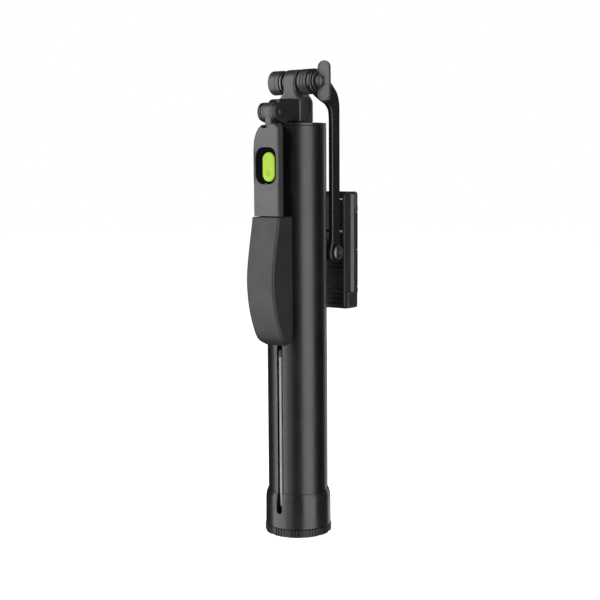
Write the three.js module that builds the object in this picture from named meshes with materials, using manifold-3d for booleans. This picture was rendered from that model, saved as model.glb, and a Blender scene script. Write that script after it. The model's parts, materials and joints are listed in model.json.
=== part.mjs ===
// A folding selfie stick with tripod feet: a slotted column that holds a telescopic pole and
// three blade legs, a head that pans, a pan handle with a shutter remote, and a phone clamp
// that hangs from the head on a bent arm.
//
// Millimetres, +Z up. The origin is the centre of the underside, -Y is the handle's side,
// +Y the clamp's side, and the wing nut is on the +X side.

import * as THREE from "three";
import { mergeVertices } from "three/addons/utils/BufferGeometryUtils.js";
import Module from "manifold-3d";

const wasm = await Module();
wasm.setup();

// ---------------------------------------------------------------- driving dimensions

const GAP = 0.3; // running gap between neighbours

const COLUMN_R = 15.5;
const COLUMN_WALL = 1.6;
const COLUMN_FOOT_Z = 12.8;
const COLUMN_TOP_Z = 211.3;
const CAP_TOP_Z = 212.9;
const CAP_SPIGOT_Z = 204;

const HUB_R = 17.1;
const HUB_Z = [4.6, 22.75];
const HUB_FLOOR_Z = 12.5;
const HUB_CORE_R = 13.6;
const HUB_CORE_TOP_Z = 21.5;

const RING_R = 17.05;
const RING_RIB = 0.35;
const RING_GROUPS = 12;
const RIBS_PER_GROUP = 4;

const LEGS = 3;
const LEG_PIN_R = 12;
const LEG_PIN_Z = 17.4;
const LEG_HALF_WIDTH = 3.25;
const LEG_THICK = 2.6;
const LEG_TIP_Z = 90;
const FOOT_TIP_Z = 98;
const SLOT_WIDTH = 3.6;
const SLOT_TOP_Z = 101;
const NOTCH_FLOOR_Z = 12.2;

const POLE_R = 8.3; // outside of the fixed tube
const POLE_STEP = 0.8; // each section is smaller by a wall and a running gap
const POLE_WALL = 0.5;
const POLE_SECTIONS = 5;
const POLE_FOOT_Z = 12.8;
const POLE_TOP_Z = 212.3;

const TILT_Z = 233.5; // height of the tilt axis, which runs along X
const EAR_R = 6.3;

const HINGE_Y = -22; // the handle's hinge, which runs along X
const HINGE_Z = 217.9;
const KNUCKLE_R = 4.7;

const CASE_X = [-6.1, 9.2];
const CASE_Z = [166.6, 212];
const CASE_FRONT_Y = -27.9;
const CASE_SPLIT_Y = -24.15;
const CASE_BACK_Y = -16.8;
const CASE_CORNER_R = 6.5;
const WINDOW_X = 1.45; // centre of the remote's window
const WINDOW_Z = 191.5;
const WINDOW_SIZE = [12.8, 18];
const WINDOW_CORNER_R = 5;
const BUTTON_X = 3.2;
const BUTTON_Z = 190.9;
const BUTTON_SIZE = [7.4, 14.4];
const GRIP_X = [-6.95, 10.05];
const GRIP_Z = [101, 166.3];

const ARM_X = [10.6, 13.3];
const PIVOT_Y = 17; // the clamp's pivot, which runs along X
const PIVOT_Z = 146.3;
const PIVOT_EYE_R = 5.4;

const CLAMP_HALF_WIDTH = 15.5;
const CLAMP_X = [-CLAMP_HALF_WIDTH, CLAMP_HALF_WIDTH];
const CLAMP_Z = [116, 177.7];
const CLAMP_BACK_Y = 22.7;
const CLAMP_FRONT_Y = 34;
const SLIDER_Y = [27.2, 30.6];
const SPRING_Y = (SLIDER_Y[0] + SLIDER_Y[1]) / 2;
const LIP_HINGE_Z = [126.4, 167.6];
const LIP_HINGE_Y = 32.65;
const LIP_BARREL_R = 1.3;
const CLAMP_MID_Z = (CLAMP_Z[0] + CLAMP_Z[1]) / 2;

const FINE = 64; // segments round the column
const MEDIUM = 32;
const SMALL = 20;
const TINY = 12;

// ---------------------------------------------------------------- outlines

/** Points along an arc, from one angle to another in degrees. */
function arc(u, v, radius, from, to, steps) {
  return Array.from({ length: steps + 1 }, (_, i) => {
    const angle = THREE.MathUtils.degToRad(from + ((to - from) * i) / steps);
    return [u + radius * Math.cos(angle), v + radius * Math.sin(angle)];
  });
}

/** The point at an angle in degrees, at a distance from the origin. */
function polar(radius, degrees) {
  const angle = THREE.MathUtils.degToRad(degrees);
  return [radius * Math.cos(angle), radius * Math.sin(angle)];
}

/** A whole circle. */
function circle(u, v, radius, segments) {
  return arc(u, v, radius, 0, 360, segments).slice(0, -1);
}

/** A rectangle with rounded corners, drawn anticlockwise. */
function roundedBox([u0, u1], [v0, v1], radius, steps = 3) {
  if (radius === 0) return [[u0, v0], [u1, v0], [u1, v1], [u0, v1]];
  return [
    ...arc(u0 + radius, v0 + radius, radius, 180, 270, steps),
    ...arc(u1 - radius, v0 + radius, radius, 270, 360, steps),
    ...arc(u1 - radius, v1 - radius, radius, 0, 90, steps),
    ...arc(u0 + radius, v1 - radius, radius, 90, 180, steps),
  ];
}

/** A box with a round top, or with two large corners at its top. */
function tombstone([u0, u1], [v0, v1], radius, steps = 6) {
  return [
    [u0, v0],
    [u1, v0],
    ...arc(u1 - radius, v1 - radius, radius, 0, 90, steps),
    ...arc(u0 + radius, v1 - radius, radius, 90, 180, steps),
  ];
}

/** An upright pill: a box with half-round ends. */
function pill(u, v, width, height, steps = 8) {
  const radius = width / 2;
  const reach = height / 2 - radius;
  return [...arc(u, v + reach, radius, 0, 180, steps), ...arc(u, v - reach, radius, 180, 360, steps)];
}

/** The remote's window, or the same outline drawn smaller all round. */
function windowOutline(shrink) {
  const halves = WINDOW_SIZE.map((size) => size / 2 - shrink);
  const us = [WINDOW_X - halves[0], WINDOW_X + halves[0]];
  const vs = [WINDOW_Z - halves[1], WINDOW_Z + halves[1]];
  return roundedBox(us, vs, WINDOW_CORNER_R - shrink, 5);
}

/** A smooth curve through a few points. */
function smooth(points, steps) {
  const curve = new THREE.SplineCurve(points.map(([u, v]) => new THREE.Vector2(u, v)));
  return curve.getPoints(steps).map((p) => [p.x, p.y]);
}

// ---------------------------------------------------------------- solids

/** A prism along Z of an outline in X and Y. */
function prismZ(points, [from, to]) {
  const shape = new THREE.Shape(points.map(([u, v]) => new THREE.Vector2(u, v)));
  const geometry = new THREE.ExtrudeGeometry(shape, { depth: to - from, bevelEnabled: false });
  return geometry.translate(0, 0, from);
}

/** A prism along X of an outline in Y and Z. */
function prismX(points, range) {
  const turn = new THREE.Matrix4().makeBasis(
    new THREE.Vector3(0, 1, 0),
    new THREE.Vector3(0, 0, 1),
    new THREE.Vector3(1, 0, 0),
  );
  return prismZ(points, range).applyMatrix4(turn);
}

/** A prism along Y of an outline in X and Z. */
function prismY(points, [from, to]) {
  return prismZ(points, [-to, -from]).rotateX(Math.PI / 2);
}

/** A block between two values on each axis. */
function block([x0, x1], [y0, y1], [z0, z1]) {
  const geometry = new THREE.BoxGeometry(x1 - x0, y1 - y0, z1 - z0);
  return geometry.translate((x0 + x1) / 2, (y0 + y1) / 2, (z0 + z1) / 2);
}

/** A turned piece about Z. The profile's points are [radius, height]. */
function turned(profile, segments) {
  const points = profile.map(([r, h]) => new THREE.Vector2(r, h));
  return new THREE.LatheGeometry(points, segments).rotateX(Math.PI / 2);
}

/** A turned piece whose profile closes on itself, such as a ring. */
function turnedRing(profile, segments) {
  return turned([...profile, profile[0]], segments);
}

/** The same, about an axis along X. The profile's points are [radius, x]. */
function turnedX(profile, segments) {
  return turned(profile, segments).rotateY(Math.PI / 2);
}

/** A round bar along Z. */
function bar(radius, [from, to], segments) {
  return turned([[0, from], [radius, from], [radius, to], [0, to]], segments);
}

/** A round bar along X, at a place in Y and Z. */
function barX(radius, range, [y, z], segments) {
  return bar(radius, range, segments).rotateY(Math.PI / 2).translate(0, y, z);
}

/** A round bar along Y, at a place in X and Z. */
function barY(radius, [from, to], [x, z], segments) {
  return bar(radius, [-to, -from], segments).rotateX(Math.PI / 2).translate(x, 0, z);
}

/** A tube about Z. */
function tube(outer, inner, [from, to], segments) {
  return turnedRing([[inner, from], [outer, from], [outer, to], [inner, to]], segments);
}

// ---------------------------------------------------------------- joins and cuts

/** A closed solid from a geometry, with shared vertices merged and its faces pointing out. */
function toSolid(geometry) {
  const bare = geometry.clone();
  bare.deleteAttribute("normal");
  bare.deleteAttribute("uv");
  const merged = mergeVertices(bare, 1e-4);
  const p = merged.attributes.position.array;
  const index = merged.index.array;
  const faces = [];
  let volume = 0;
  for (let i = 0; i < index.length; i += 3) {
    const [a, b, c] = [index[i], index[i + 1], index[i + 2]];
    if (a === b || b === c || c === a) continue;
    faces.push([a, b, c]);
    const [u, v, w] = [a, b, c].map((n) => new THREE.Vector3(p[3 * n], p[3 * n + 1], p[3 * n + 2]));
    volume += u.dot(v.cross(w));
  }
  const triVerts = faces.flatMap(([a, b, c]) => (volume < 0 ? [a, c, b] : [a, b, c]));
  const mesh = new wasm.Mesh({
    numProp: 3,
    vertProperties: Float32Array.from(p),
    triVerts: Uint32Array.from(triVerts),
  });
  return new wasm.Manifold(mesh);
}

function toGeometry(solid) {
  const mesh = solid.getMesh();
  const geometry = new THREE.BufferGeometry();
  geometry.setAttribute("position", new THREE.BufferAttribute(Float32Array.from(mesh.vertProperties), 3));
  geometry.setIndex(new THREE.BufferAttribute(Uint32Array.from(mesh.triVerts), 1));
  return geometry;
}

function cut(body, ...tools) {
  return toGeometry(tools.reduce((left, tool) => left.subtract(toSolid(tool)), toSolid(body)));
}

function join(...bodies) {
  return toGeometry(bodies.map(toSolid).reduce((whole, body) => whole.add(body)));
}

function common(first, second) {
  return toGeometry(toSolid(first).intersect(toSolid(second)));
}

// ---------------------------------------------------------------- materials

function finish(color, roughness, metalness) {
  return () => new THREE.MeshStandardMaterial({ color, roughness, metalness });
}

const satinAluminium = finish(0x1c1c1d, 0.35, 0.8);
const mouldedBlack = finish(0x1a1a1b, 0.45, 0);
const casingBlack = finish(0x2a2a2b, 0.5, 0);
const softRubber = finish(0x232424, 0.8, 0);
const darkSteel = finish(0x2a2a2c, 0.3, 0.9);
const brightSteel = finish(0xb8b8ba, 0.25, 1);
const shutterGreen = finish(0x8ccb1d, 0.35, 0);
const boardGreen = finish(0x1d4a2c, 0.6, 0);

// ---------------------------------------------------------------- the assembly

const stick = new THREE.Group();

function add(name, geometry, material, parent = stick) {
  geometry.computeVertexNormals();
  const mesh = new THREE.Mesh(geometry, material());
  mesh.name = name;
  parent.add(mesh);
  return mesh;
}

/** Cutters that open the hub and the column at each leg, from the pole out past the skin. */
function legSlots(floorZ, topZ) {
  const half = SLOT_WIDTH / 2;
  const outline = [
    ...arc(0, floorZ + half, half, 180, 360, 8),
    [half, topZ],
    [-half, topZ],
  ];
  return Array.from({ length: LEGS }, (_, i) =>
    prismY(outline, [-HUB_R - 2, -POLE_R - 0.1]).rotateZ((i * 2 * Math.PI) / LEGS),
  );
}

function addBase() {
  add("foot_pad", bar(14.9, [0, 1.2], FINE), softRubber);

  const pitch = 360 / RING_GROUPS;
  const ribPitch = 5.4;
  const outline = [];
  for (let group = 0; group < RING_GROUPS; group += 1) {
    for (let rib = 0; rib < RIBS_PER_GROUP; rib += 1) {
      const middle = group * pitch + (rib - (RIBS_PER_GROUP - 1) / 2) * ribPitch;
      const corners = [[-1.7, 0], [-0.9, RING_RIB], [0.9, RING_RIB], [1.7, 0]];
      corners.forEach(([turn, rise]) => outline.push(polar(RING_R + rise, middle + turn)));
    }
  }
  const ring = prismZ(outline, [0.3, HUB_Z[0] - GAP]);
  add(
    "knurled_base_cap",
    cut(ring, bar(15.2, [0, 1.5], FINE), bar(3.9, [1, 3.4], SMALL), bar(1.8, [3, 5], SMALL)),
    mouldedBlack,
  );

  const screw = [[0, 1.7], [3.5, 1.7], [3.5, 3.1], [1.5, 3.1], [1.5, 9.5], [0, 9.5]];
  add("base_screw", turned(screw, SMALL), darkSteel);

  const hubProfile = [
    [0, HUB_Z[0]],
    [HUB_R, HUB_Z[0]],
    [16.95, 19],
    [16.6, 21],
    [15.95, HUB_Z[1]],
    [COLUMN_R + GAP, HUB_Z[1]],
    [COLUMN_R + GAP, HUB_FLOOR_Z],
    [HUB_CORE_R, HUB_FLOOR_Z],
    [HUB_CORE_R, HUB_CORE_TOP_Z],
    [POLE_R + GAP, HUB_CORE_TOP_Z],
    [POLE_R + GAP, HUB_FLOOR_Z],
    [0, HUB_FLOOR_Z],
  ];
  const pinBores = Array.from({ length: LEGS }, (_, i) =>
    barX(1.45, [-4.3, 4.3], [-LEG_PIN_R, LEG_PIN_Z], TINY).rotateZ((i * 2 * Math.PI) / LEGS),
  );
  add(
    "base_hub",
    cut(
      turned(hubProfile, FINE),
      ...legSlots(NOTCH_FLOOR_Z, HUB_Z[1] + 1),
      ...pinBores,
      bar(1.8, [4, 10.5], SMALL),
    ),
    mouldedBlack,
  );
}

function addColumn() {
  const shell = tube(COLUMN_R, COLUMN_R - COLUMN_WALL, [COLUMN_FOOT_Z, COLUMN_TOP_Z], FINE);
  add("column_tube", cut(shell, ...legSlots(NOTCH_FLOOR_Z - 2, SLOT_TOP_Z)), satinAluminium);

  const cap = [
    [POLE_R + GAP, CAP_SPIGOT_Z],
    [COLUMN_R - COLUMN_WALL - GAP, CAP_SPIGOT_Z],
    [COLUMN_R - COLUMN_WALL - GAP, COLUMN_TOP_Z + GAP],
    [COLUMN_R, COLUMN_TOP_Z + GAP],
    [COLUMN_R, CAP_TOP_Z - 0.4],
    [COLUMN_R - 0.4, CAP_TOP_Z],
    [POLE_R + GAP, CAP_TOP_Z],
  ];
  add("column_top_cap", turnedRing(cap, FINE), mouldedBlack);
}

/** One leg, drawn at the front of the column and turned to its place with its group. */
function addLeg(number) {
  const group = new THREE.Group();
  group.rotation.z = ((number - 1) * 2 * Math.PI) / LEGS;
  stick.add(group);

  const y = -LEG_PIN_R;
  const sides = [y - LEG_HALF_WIDTH, y + LEG_HALF_WIDTH];
  const blade = [
    ...arc(y, LEG_PIN_Z, LEG_HALF_WIDTH, 180, 360, 10),
    [sides[1], LEG_TIP_Z],
    [y + 1.8, LEG_TIP_Z],
    [y + 1.8, LEG_TIP_Z + 5],
    [y - 1.8, LEG_TIP_Z + 5],
    [y - 1.8, LEG_TIP_Z],
    [sides[0], LEG_TIP_Z],
  ];
  const half = LEG_THICK / 2;
  const pocket = pill(y, 55, 3.6, 58, 4);
  add(
    `leg_${number}`,
    cut(
      prismX(blade, [-half, half]),
      barX(1.45, [-half - 1, half + 1], [y, LEG_PIN_Z], TINY),
      prismX(pocket, [half - 0.6, half + 1]),
      prismX(pocket, [-half - 1, 0.6 - half]),
      block([0.5, half + 1], sides, [LEG_TIP_Z, LEG_TIP_Z + 6]),
    ),
    darkSteel,
    group,
  );

  const footOutline = roundedBox(sides, [LEG_TIP_Z + GAP, FOOT_TIP_Z], 1.2);
  const socket = roundedBox([y - 2.1, y + 2.1], [LEG_TIP_Z, LEG_TIP_Z + 5.3], 0);
  add(
    `leg_foot_${number}`,
    cut(prismX(footOutline, [-1.5, 1.5]), prismX(socket, [-2, 0.8])),
    softRubber,
    group,
  );
  add(`leg_pin_${number}`, barX(1.15, [-4, 4], [y, LEG_PIN_Z], TINY), brightSteel, group);
}

function addPole() {
  add("pole_outer_tube", tube(POLE_R, POLE_R - POLE_WALL, [POLE_FOOT_Z, POLE_TOP_Z], MEDIUM), brightSteel);
  for (let i = 1; i <= POLE_SECTIONS; i += 1) {
    const radius = POLE_R - i * POLE_STEP;
    const range = [POLE_FOOT_Z + i * 0.8, POLE_TOP_Z];
    add(`pole_section_${i}`, tube(radius, radius - POLE_WALL, range, MEDIUM), brightSteel);
  }
  const bore = POLE_R - POLE_SECTIONS * POLE_STEP - POLE_WALL;
  const stud = [
    [0, POLE_TOP_Z - 14],
    [bore - GAP, POLE_TOP_Z - 14],
    [bore - GAP, POLE_TOP_Z + 0.1],
    [bore + 0.4, POLE_TOP_Z + 0.1],
    [bore + 0.4, CAP_TOP_Z],
    [2.6, CAP_TOP_Z],
    [2.6, 219],
    [0, 219],
  ];
  add("pan_stud", turned(stud, SMALL), darkSteel);
}

function addHeadPost() {
  const front = [
    [-6.9, 213.4],
    [6.9, 213.4],
    ...smooth([[6.9, 223.6], [6.2, 225], [4.6, 227], [3.8, 228.2]], 6),
    [3.8, TILT_Z + EAR_R + 1],
    [-3.8, TILT_Z + EAR_R + 1],
    ...smooth([[-3.8, 228.2], [-4.6, 227], [-6.2, 225], [-6.9, 223.6]], 6),
  ];
  const side = [[-6.2, 213.4], [6.2, 213.4], ...arc(0, TILT_Z, EAR_R, 0, 180, 16)];
  const panel = [[3.7, 223.6], [-3.7, 223.6], ...arc(0, 219.2, 3.7, 180, 360, 8)];
  add(
    "head_post",
    cut(
      common(prismY(front, [-8, 8]), prismX(side, [-8, 8])),
      barX(2.3, [-8, 8], [0, TILT_Z], SMALL),
      prismX(panel, [5.7, 8]),
      bar(2.9, [213, 219.5], SMALL),
      barY(1.5, [-8, -2.2], [1.3, 222], TINY),
    ),
    casingBlack,
  );
}

/** The row of turned pieces on the tilt axis, drawn with their heights along X. */
function addTiltStack() {
  const group = new THREE.Group();
  group.position.z = TILT_Z;
  stick.add(group);

  const bolt = [[0, -11], [2, -11], [2, 16.2], [0, 16.2]];
  add("tilt_bolt", turnedX(bolt, TINY), darkSteel, group);

  const knob = [
    [0, -13.4],
    [5.2, -13.4],
    [5.9, -13],
    [6.15, -12.2],
    [6.15, -6.8],
    [2.3, -6.8],
    [2.3, -11.3],
    [0, -11.3],
  ];
  add("tilt_knob", turnedX(knob, MEDIUM), casingBlack, group);

  const rings = [
    ["knob_washer", 5.9, [-6.3, -5.3], brightSteel],
    ["spring_washer", 4.9, [-5, -4.1], darkSteel],
    ["friction_disc", 5.2, [4.1, 5.1], softRubber],
    ["flange_washer", 5.2, [13.6, 14.2], brightSteel],
  ];
  rings.forEach(([name, radius, [from, to], material]) => {
    const profile = [[2.3, from], [radius, from], [radius, to], [2.3, to]];
    add(name, turnedX([...profile, profile[0]], SMALL), material, group);
  });

  const barrel = [[2.3, 5.4], [6.1, 5.4], [6.4, 5.7]];
  [7.3, 9].forEach((x) => barrel.push([6.4, x - 0.4], [5.8, x - 0.15], [5.8, x + 0.15], [6.4, x + 0.4]));
  barrel.push([6.4, 10.3], [2.3, 10.3], barrel[0]);
  add("tilt_barrel", turnedX(barrel, MEDIUM), casingBlack, group);
}

function addWingNut() {
  const dome = [
    [2.3, 14.5],
    [3.65, 14.5],
    [3.65, 15.8],
    [3.2, 16.8],
    [2.2, 17.5],
    [0, 17.8],
    [0, 16.5],
    [2.3, 16.5],
    [2.3, 14.5],
  ];
  const lobe = [
    [14.5, 1],
    [17, 1.2],
    [18.8, 2.6],
    [20.4, 4.4],
    ...arc(17.9, 6.9, 3.35, -20, 150, 8),
    [14.5, 7.4],
  ];
  const down = lobe.map(([x, z]) => [x, -z]).reverse();
  const wing = (outline) =>
    prismY(outline.map(([x, z]) => [x, z + TILT_Z]), [-0.8, 0.8]);
  const hub = turnedX(dome, SMALL).translate(0, 0, TILT_Z);
  const bridge = block([15.5, 17.6], [-0.8, 0.8], [TILT_Z - 3, TILT_Z + 3]);
  const bore = barX(2.3, [13, 16.5], [0, TILT_Z], SMALL);
  add("wing_nut", cut(join(hub, bridge, wing(lobe), wing(down)), bore), mouldedBlack);
}

function addArm() {
  const z = (drop) => TILT_Z + drop;
  const outline = [
    ...arc(0, TILT_Z, 6.4, 90, 289, 14),
    [8.1, z(-11.3)],
    [11.7, z(-13.3)],
    [13, z(-15.4)],
    [13.4, z(-17.4)],
    [13.4, PIVOT_Z + 6],
    ...arc(PIVOT_Y, PIVOT_Z, PIVOT_EYE_R, 150, 390, 14),
    [20.5, PIVOT_Z + 6],
    [20.4, z(-13)],
    [20, z(-9.2)],
    [19.3, z(-7.2)],
    [18.5, z(-5.1)],
    [16.6, z(-3.1)],
    [13.6, z(-1)],
    [12.3, z(0)],
    [7.5, z(3.6)],
    [3.6, z(5.8)],
  ];
  add(
    "arm",
    cut(
      prismX(outline, ARM_X),
      barX(2.3, [10, 14], [0, TILT_Z], SMALL),
      barX(2, [10, 14], [PIVOT_Y, PIVOT_Z], SMALL),
    ),
    mouldedBlack,
  );
}

function addHandleBracket() {
  const xs = [-4.3, 6.9];
  const outline = [
    [-6.5, 213.5],
    [-6.5, 224.6],
    [-14.6, 224.6],
    [-16.4, 224],
    [-18.2, 222.3],
    ...arc(HINGE_Y, HINGE_Z, KNUCKLE_R, 90, 250, 10),
    [-19.5, 213.5],
  ];
  add(
    "handle_bracket",
    cut(
      prismX(outline, xs),
      block([-2.4, 4.9], [-28, -16.9], [212, 226]),
      barX(1.5, [-6, 8], [HINGE_Y, HINGE_Z], TINY),
      barY(1.5, [-18, -5], [1.3, 222], TINY),
      barY(2.3, [-18, -15.4], [1.3, 222], TINY),
    ),
    mouldedBlack,
  );
  const screw = join(barY(1.2, [-16, -2.6], [1.3, 222], TINY), barY(2, [-16.9, -15.7], [1.3, 222], TINY));
  add("bracket_screw", screw, brightSteel);
  add("handle_pin", barX(1.2, [-4.3, 7.1], [HINGE_Y, HINGE_Z], TINY), brightSteel);
}

function addHandle() {
  const knuckle = barX(KNUCKLE_R, [-2.1, 4.6], [HINGE_Y, HINGE_Z], MEDIUM);
  const neck = block([-0.35, 2.95], [-24, -20], [204, HINGE_Z]);
  const upper = block([-3.4, 6.5], [-20.9, -18.7], [160, 205.5]);
  const lower = block([-3.5, 6.6], [-24.6, -18.7], [107, 165]);
  const bore = barX(1.5, [-4, 6], [HINGE_Y, HINGE_Z], TINY);
  const screwHole = barY(1, [-26, -17], [1.55, 174], TINY);
  add("handle_spine", cut(join(knuckle, neck, upper, lower), bore, screwHole), casingBlack);

  const neckNotch = block([-0.75, 3.35], [-24.4, -19.6], [205, 214]);
  const frontOuter = tombstone(CASE_X, CASE_Z, CASE_CORNER_R);
  const inset = (range, by) => [range[0] + by, range[1] - by];
  const frontInner = tombstone(inset(CASE_X, 1.6), [CASE_Z[0] + 1.4, CASE_Z[1] - 1.6], 4.9);
  add(
    "handle_front_shell",
    cut(
      prismY(frontOuter, [CASE_FRONT_Y, CASE_SPLIT_Y - GAP / 2]),
      prismY(frontInner, [CASE_FRONT_Y + 1.5, CASE_SPLIT_Y + 1]),
      prismY(windowOutline(0), [CASE_FRONT_Y - 1, CASE_SPLIT_Y]),
      neckNotch,
    ),
    casingBlack,
  );

  const backOuter = tombstone(inset(CASE_X, 0.6), [CASE_Z[0], CASE_Z[1] - 1], CASE_CORNER_R - 1);
  const backInner = tombstone(inset(CASE_X, 2.3), [CASE_Z[0] - 1, CASE_Z[1] - 1.9], 4.2);
  add(
    "handle_back_shell",
    cut(
      prismY(backOuter, [CASE_SPLIT_Y + GAP / 2, CASE_BACK_Y]),
      prismY(backInner, [CASE_SPLIT_Y - 1, CASE_BACK_Y - 1.5]),
      prismY(windowOutline(0), [CASE_SPLIT_Y - 1, -21.3]),
      neckNotch,
      barY(1, [-20, -15], [1.55, 174], TINY),
    ),
    mouldedBlack,
  );
  const shaft = barY(0.75, [-22, -17.2], [1.55, 174], TINY);
  add("handle_screw", shaft, brightSteel);

  const side = [
    [CASE_BACK_Y, GRIP_Z[1]],
    [-28.6, GRIP_Z[1]],
    ...smooth([[-29.2, 162], [-31.6, 151], [-33.5, 139], [-33.6, 130], [-32, 120], [-28.9, 111]], 14),
    ...smooth([[-26, 105.5], [-23.4, 102.6], [-21, 101.2], [-18.6, 102.4], [-17, 107]], 8),
  ];
  const cavity = block([-3.9, 7], [-25, -18.3], [106.5, 170]);
  add("grip_sleeve", cut(prismX(side, GRIP_X), cavity), softRubber);
}

function addRemote() {
  const shell = prismY(windowOutline(0.35), [-27.2, -21.6]);
  const cavity = prismY(windowOutline(1.25), [-26.3, -21]);
  const [width, height] = BUTTON_SIZE;
  const hole = prismY(pill(BUTTON_X, BUTTON_Z, width + 0.6, height + 0.6), [-28, -25.1]);
  add("remote_shell", cut(shell, cavity, hole), casingBlack);

  add("remote_board", prismY(windowOutline(1.6), [-24.9, -24.1]), boardGreen);
  add("remote_cell", barY(4.4, [-23.8, -21.9], [WINDOW_X, WINDOW_Z], SMALL), brightSteel);
  const body = prismY(pill(BUTTON_X, BUTTON_Z, width, height), [-27.6, -25.8]);
  const crown = prismY(pill(BUTTON_X, BUTTON_Z, width - 1.6, height - 1.6), [-28, -27]);
  add("shutter_button", join(body, crown), shutterGreen);
}

function addClampJoint() {
  const pivot = [PIVOT_Y, PIVOT_Z];
  const screwHead = [
    [0, 15.3],
    [2.6, 15.2],
    [3.8, 14.5],
    [4, 13.6],
    [1.7, 13.6],
    [1.7, 7],
    [0, 7],
  ];
  const hex = barX(1.5, [14.3, 16], pivot, 6);
  const screw = turnedX(screwHead, SMALL).translate(0, PIVOT_Y, PIVOT_Z);
  add("pivot_screw", cut(screw, hex), brightSteel);

  const tab = prismX(roundedBox([14.9, 19.2], [PIVOT_Z - 4, PIVOT_Z + 4], 1.5), [7.5, 10.3]);
  const plate = block([-4.5, 10.3], [17.1, 22.4], [PIVOT_Z - 4, PIVOT_Z + 4]);
  add(
    "clamp_knuckle",
    cut(
      join(tab, plate),
      barX(2, [6.7, 11], pivot, TINY),
      barY(1.8, [15, 23], [0, PIVOT_Z], TINY),
      barY(3, [15, 18.6], [0, PIVOT_Z], SMALL),
    ),
    mouldedBlack,
  );
  const stud = join(
    barY(1.5, [17.5, 26.6], [0, PIVOT_Z], TINY),
    barY(2.7, [17.3, 18.3], [0, PIVOT_Z], SMALL),
  );
  add("swivel_stud", stud, brightSteel);
}

/** The fixed half: ribbed below the pivot, recessed above it, with a channel for the slider. */
function addClampHousing() {
  const [low, high] = CLAMP_Z;
  const back = CLAMP_BACK_Y;
  const front = CLAMP_FRONT_Y;
  const shelf = LIP_HINGE_Z[0] - LIP_BARREL_R - GAP;
  const side = [
    [back, low + 1.5],
    [back + 1.5, low],
    [front - 1, low],
    [front, low + 1],
    [front, shelf],
    [SLIDER_Y[1] + GAP, shelf],
    [SLIDER_Y[1] + GAP, high - 2],
    [28.4, high],
    [back + 2.4, high],
    [back, high - 1.8],
  ];
  const grooveHeights = [118.6, 121, 123.4, 125.8, 137.6, 139.8];
  const grooves = grooveHeights.map((z) => block([-13.4, 13.4], [20, back + 0.8], [z, z + 1.1]));
  const recess = prismY(roundedBox([-12.6, 12.6], [152.5, high - 3], 1.5), [20, back + 2.2]);
  const slits = [157, 174].map((z) => block([-8, 8], [20, 27], [z - 0.7, z + 0.7]));
  const channel = block([-13.1, 13.1], [SLIDER_Y[0] - GAP, SLIDER_Y[1] + 0.4], [low + 3, high + 2]);
  add(
    "clamp_housing",
    cut(
      join(prismX(side, CLAMP_X), ...hingeEars(LIP_HINGE_Z[0], -1)),
      ...grooves,
      recess,
      ...slits,
      channel,
      barY(1.8, [20, 28], [0, PIVOT_Z], TINY),
      barX(0.8, [-13, 13], [LIP_HINGE_Y, LIP_HINGE_Z[0]], TINY),
    ),
    mouldedBlack,
  );
}

/** The two ears that hold a lip's pin; side is -1 for ears on a block below, +1 above. */
function hingeEars(z, side) {
  const root = side < 0 ? [z - 2.2, z] : [z, z + 2.2];
  const thick = [LIP_HINGE_Y - LIP_BARREL_R, LIP_HINGE_Y + LIP_BARREL_R];
  return [[-CLAMP_HALF_WIDTH, -13.2], [13.2, CLAMP_HALF_WIDTH]].flatMap((xs) => [
    prismX(circle(LIP_HINGE_Y, z, LIP_BARREL_R, TINY), xs),
    block(xs, thick, root),
  ]);
}

/** The sliding half: a plate in the housing's channel, with the upper jaw on its end. */
function addClampSlider() {
  const high = CLAMP_Z[1];
  const foot = LIP_HINGE_Z[1] + LIP_BARREL_R + GAP;
  const plate = block([-12.8, 12.8], SLIDER_Y, [119.6, high - 0.3]);
  const neck = block([-12.8, 12.8], [SLIDER_Y[1] - 1, 32], [foot, high - 1]);
  const jaw = [
    [SLIDER_Y[1] + 0.6, foot],
    [CLAMP_FRONT_Y, foot],
    [CLAMP_FRONT_Y, high - 1.2],
    [CLAMP_FRONT_Y - 1.2, high],
    [SLIDER_Y[1] + 0.6, high],
  ];
  add(
    "clamp_slider",
    cut(
      join(plate, neck, prismX(jaw, CLAMP_X), ...hingeEars(LIP_HINGE_Z[1], 1)),
      block([-2.2, 2.2], [SLIDER_Y[0] - 1, SLIDER_Y[1] + 1], [119, 160]),
    ),
    casingBlack,
  );

  const turns = 9;
  const [bottom, top] = [120.4, 159.4];
  const helix = Array.from({ length: turns * 8 + 1 }, (_, i) => {
    const angle = (i * Math.PI) / 4;
    const rise = bottom + ((top - bottom) * i) / (turns * 8);
    return new THREE.Vector3(1.25 * Math.cos(angle), SPRING_Y + 1.25 * Math.sin(angle), rise);
  });
  const wire = new THREE.Shape(circle(0, 0, 0.25, 5).map(([u, v]) => new THREE.Vector2(u, v)));
  const spring = new THREE.ExtrudeGeometry(wire, {
    steps: turns * 8,
    extrudePath: new THREE.CatmullRomCurve3(helix),
    bevelEnabled: false,
  });
  add("jaw_spring", toGeometry(toSolid(spring)), brightSteel);
}

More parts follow.
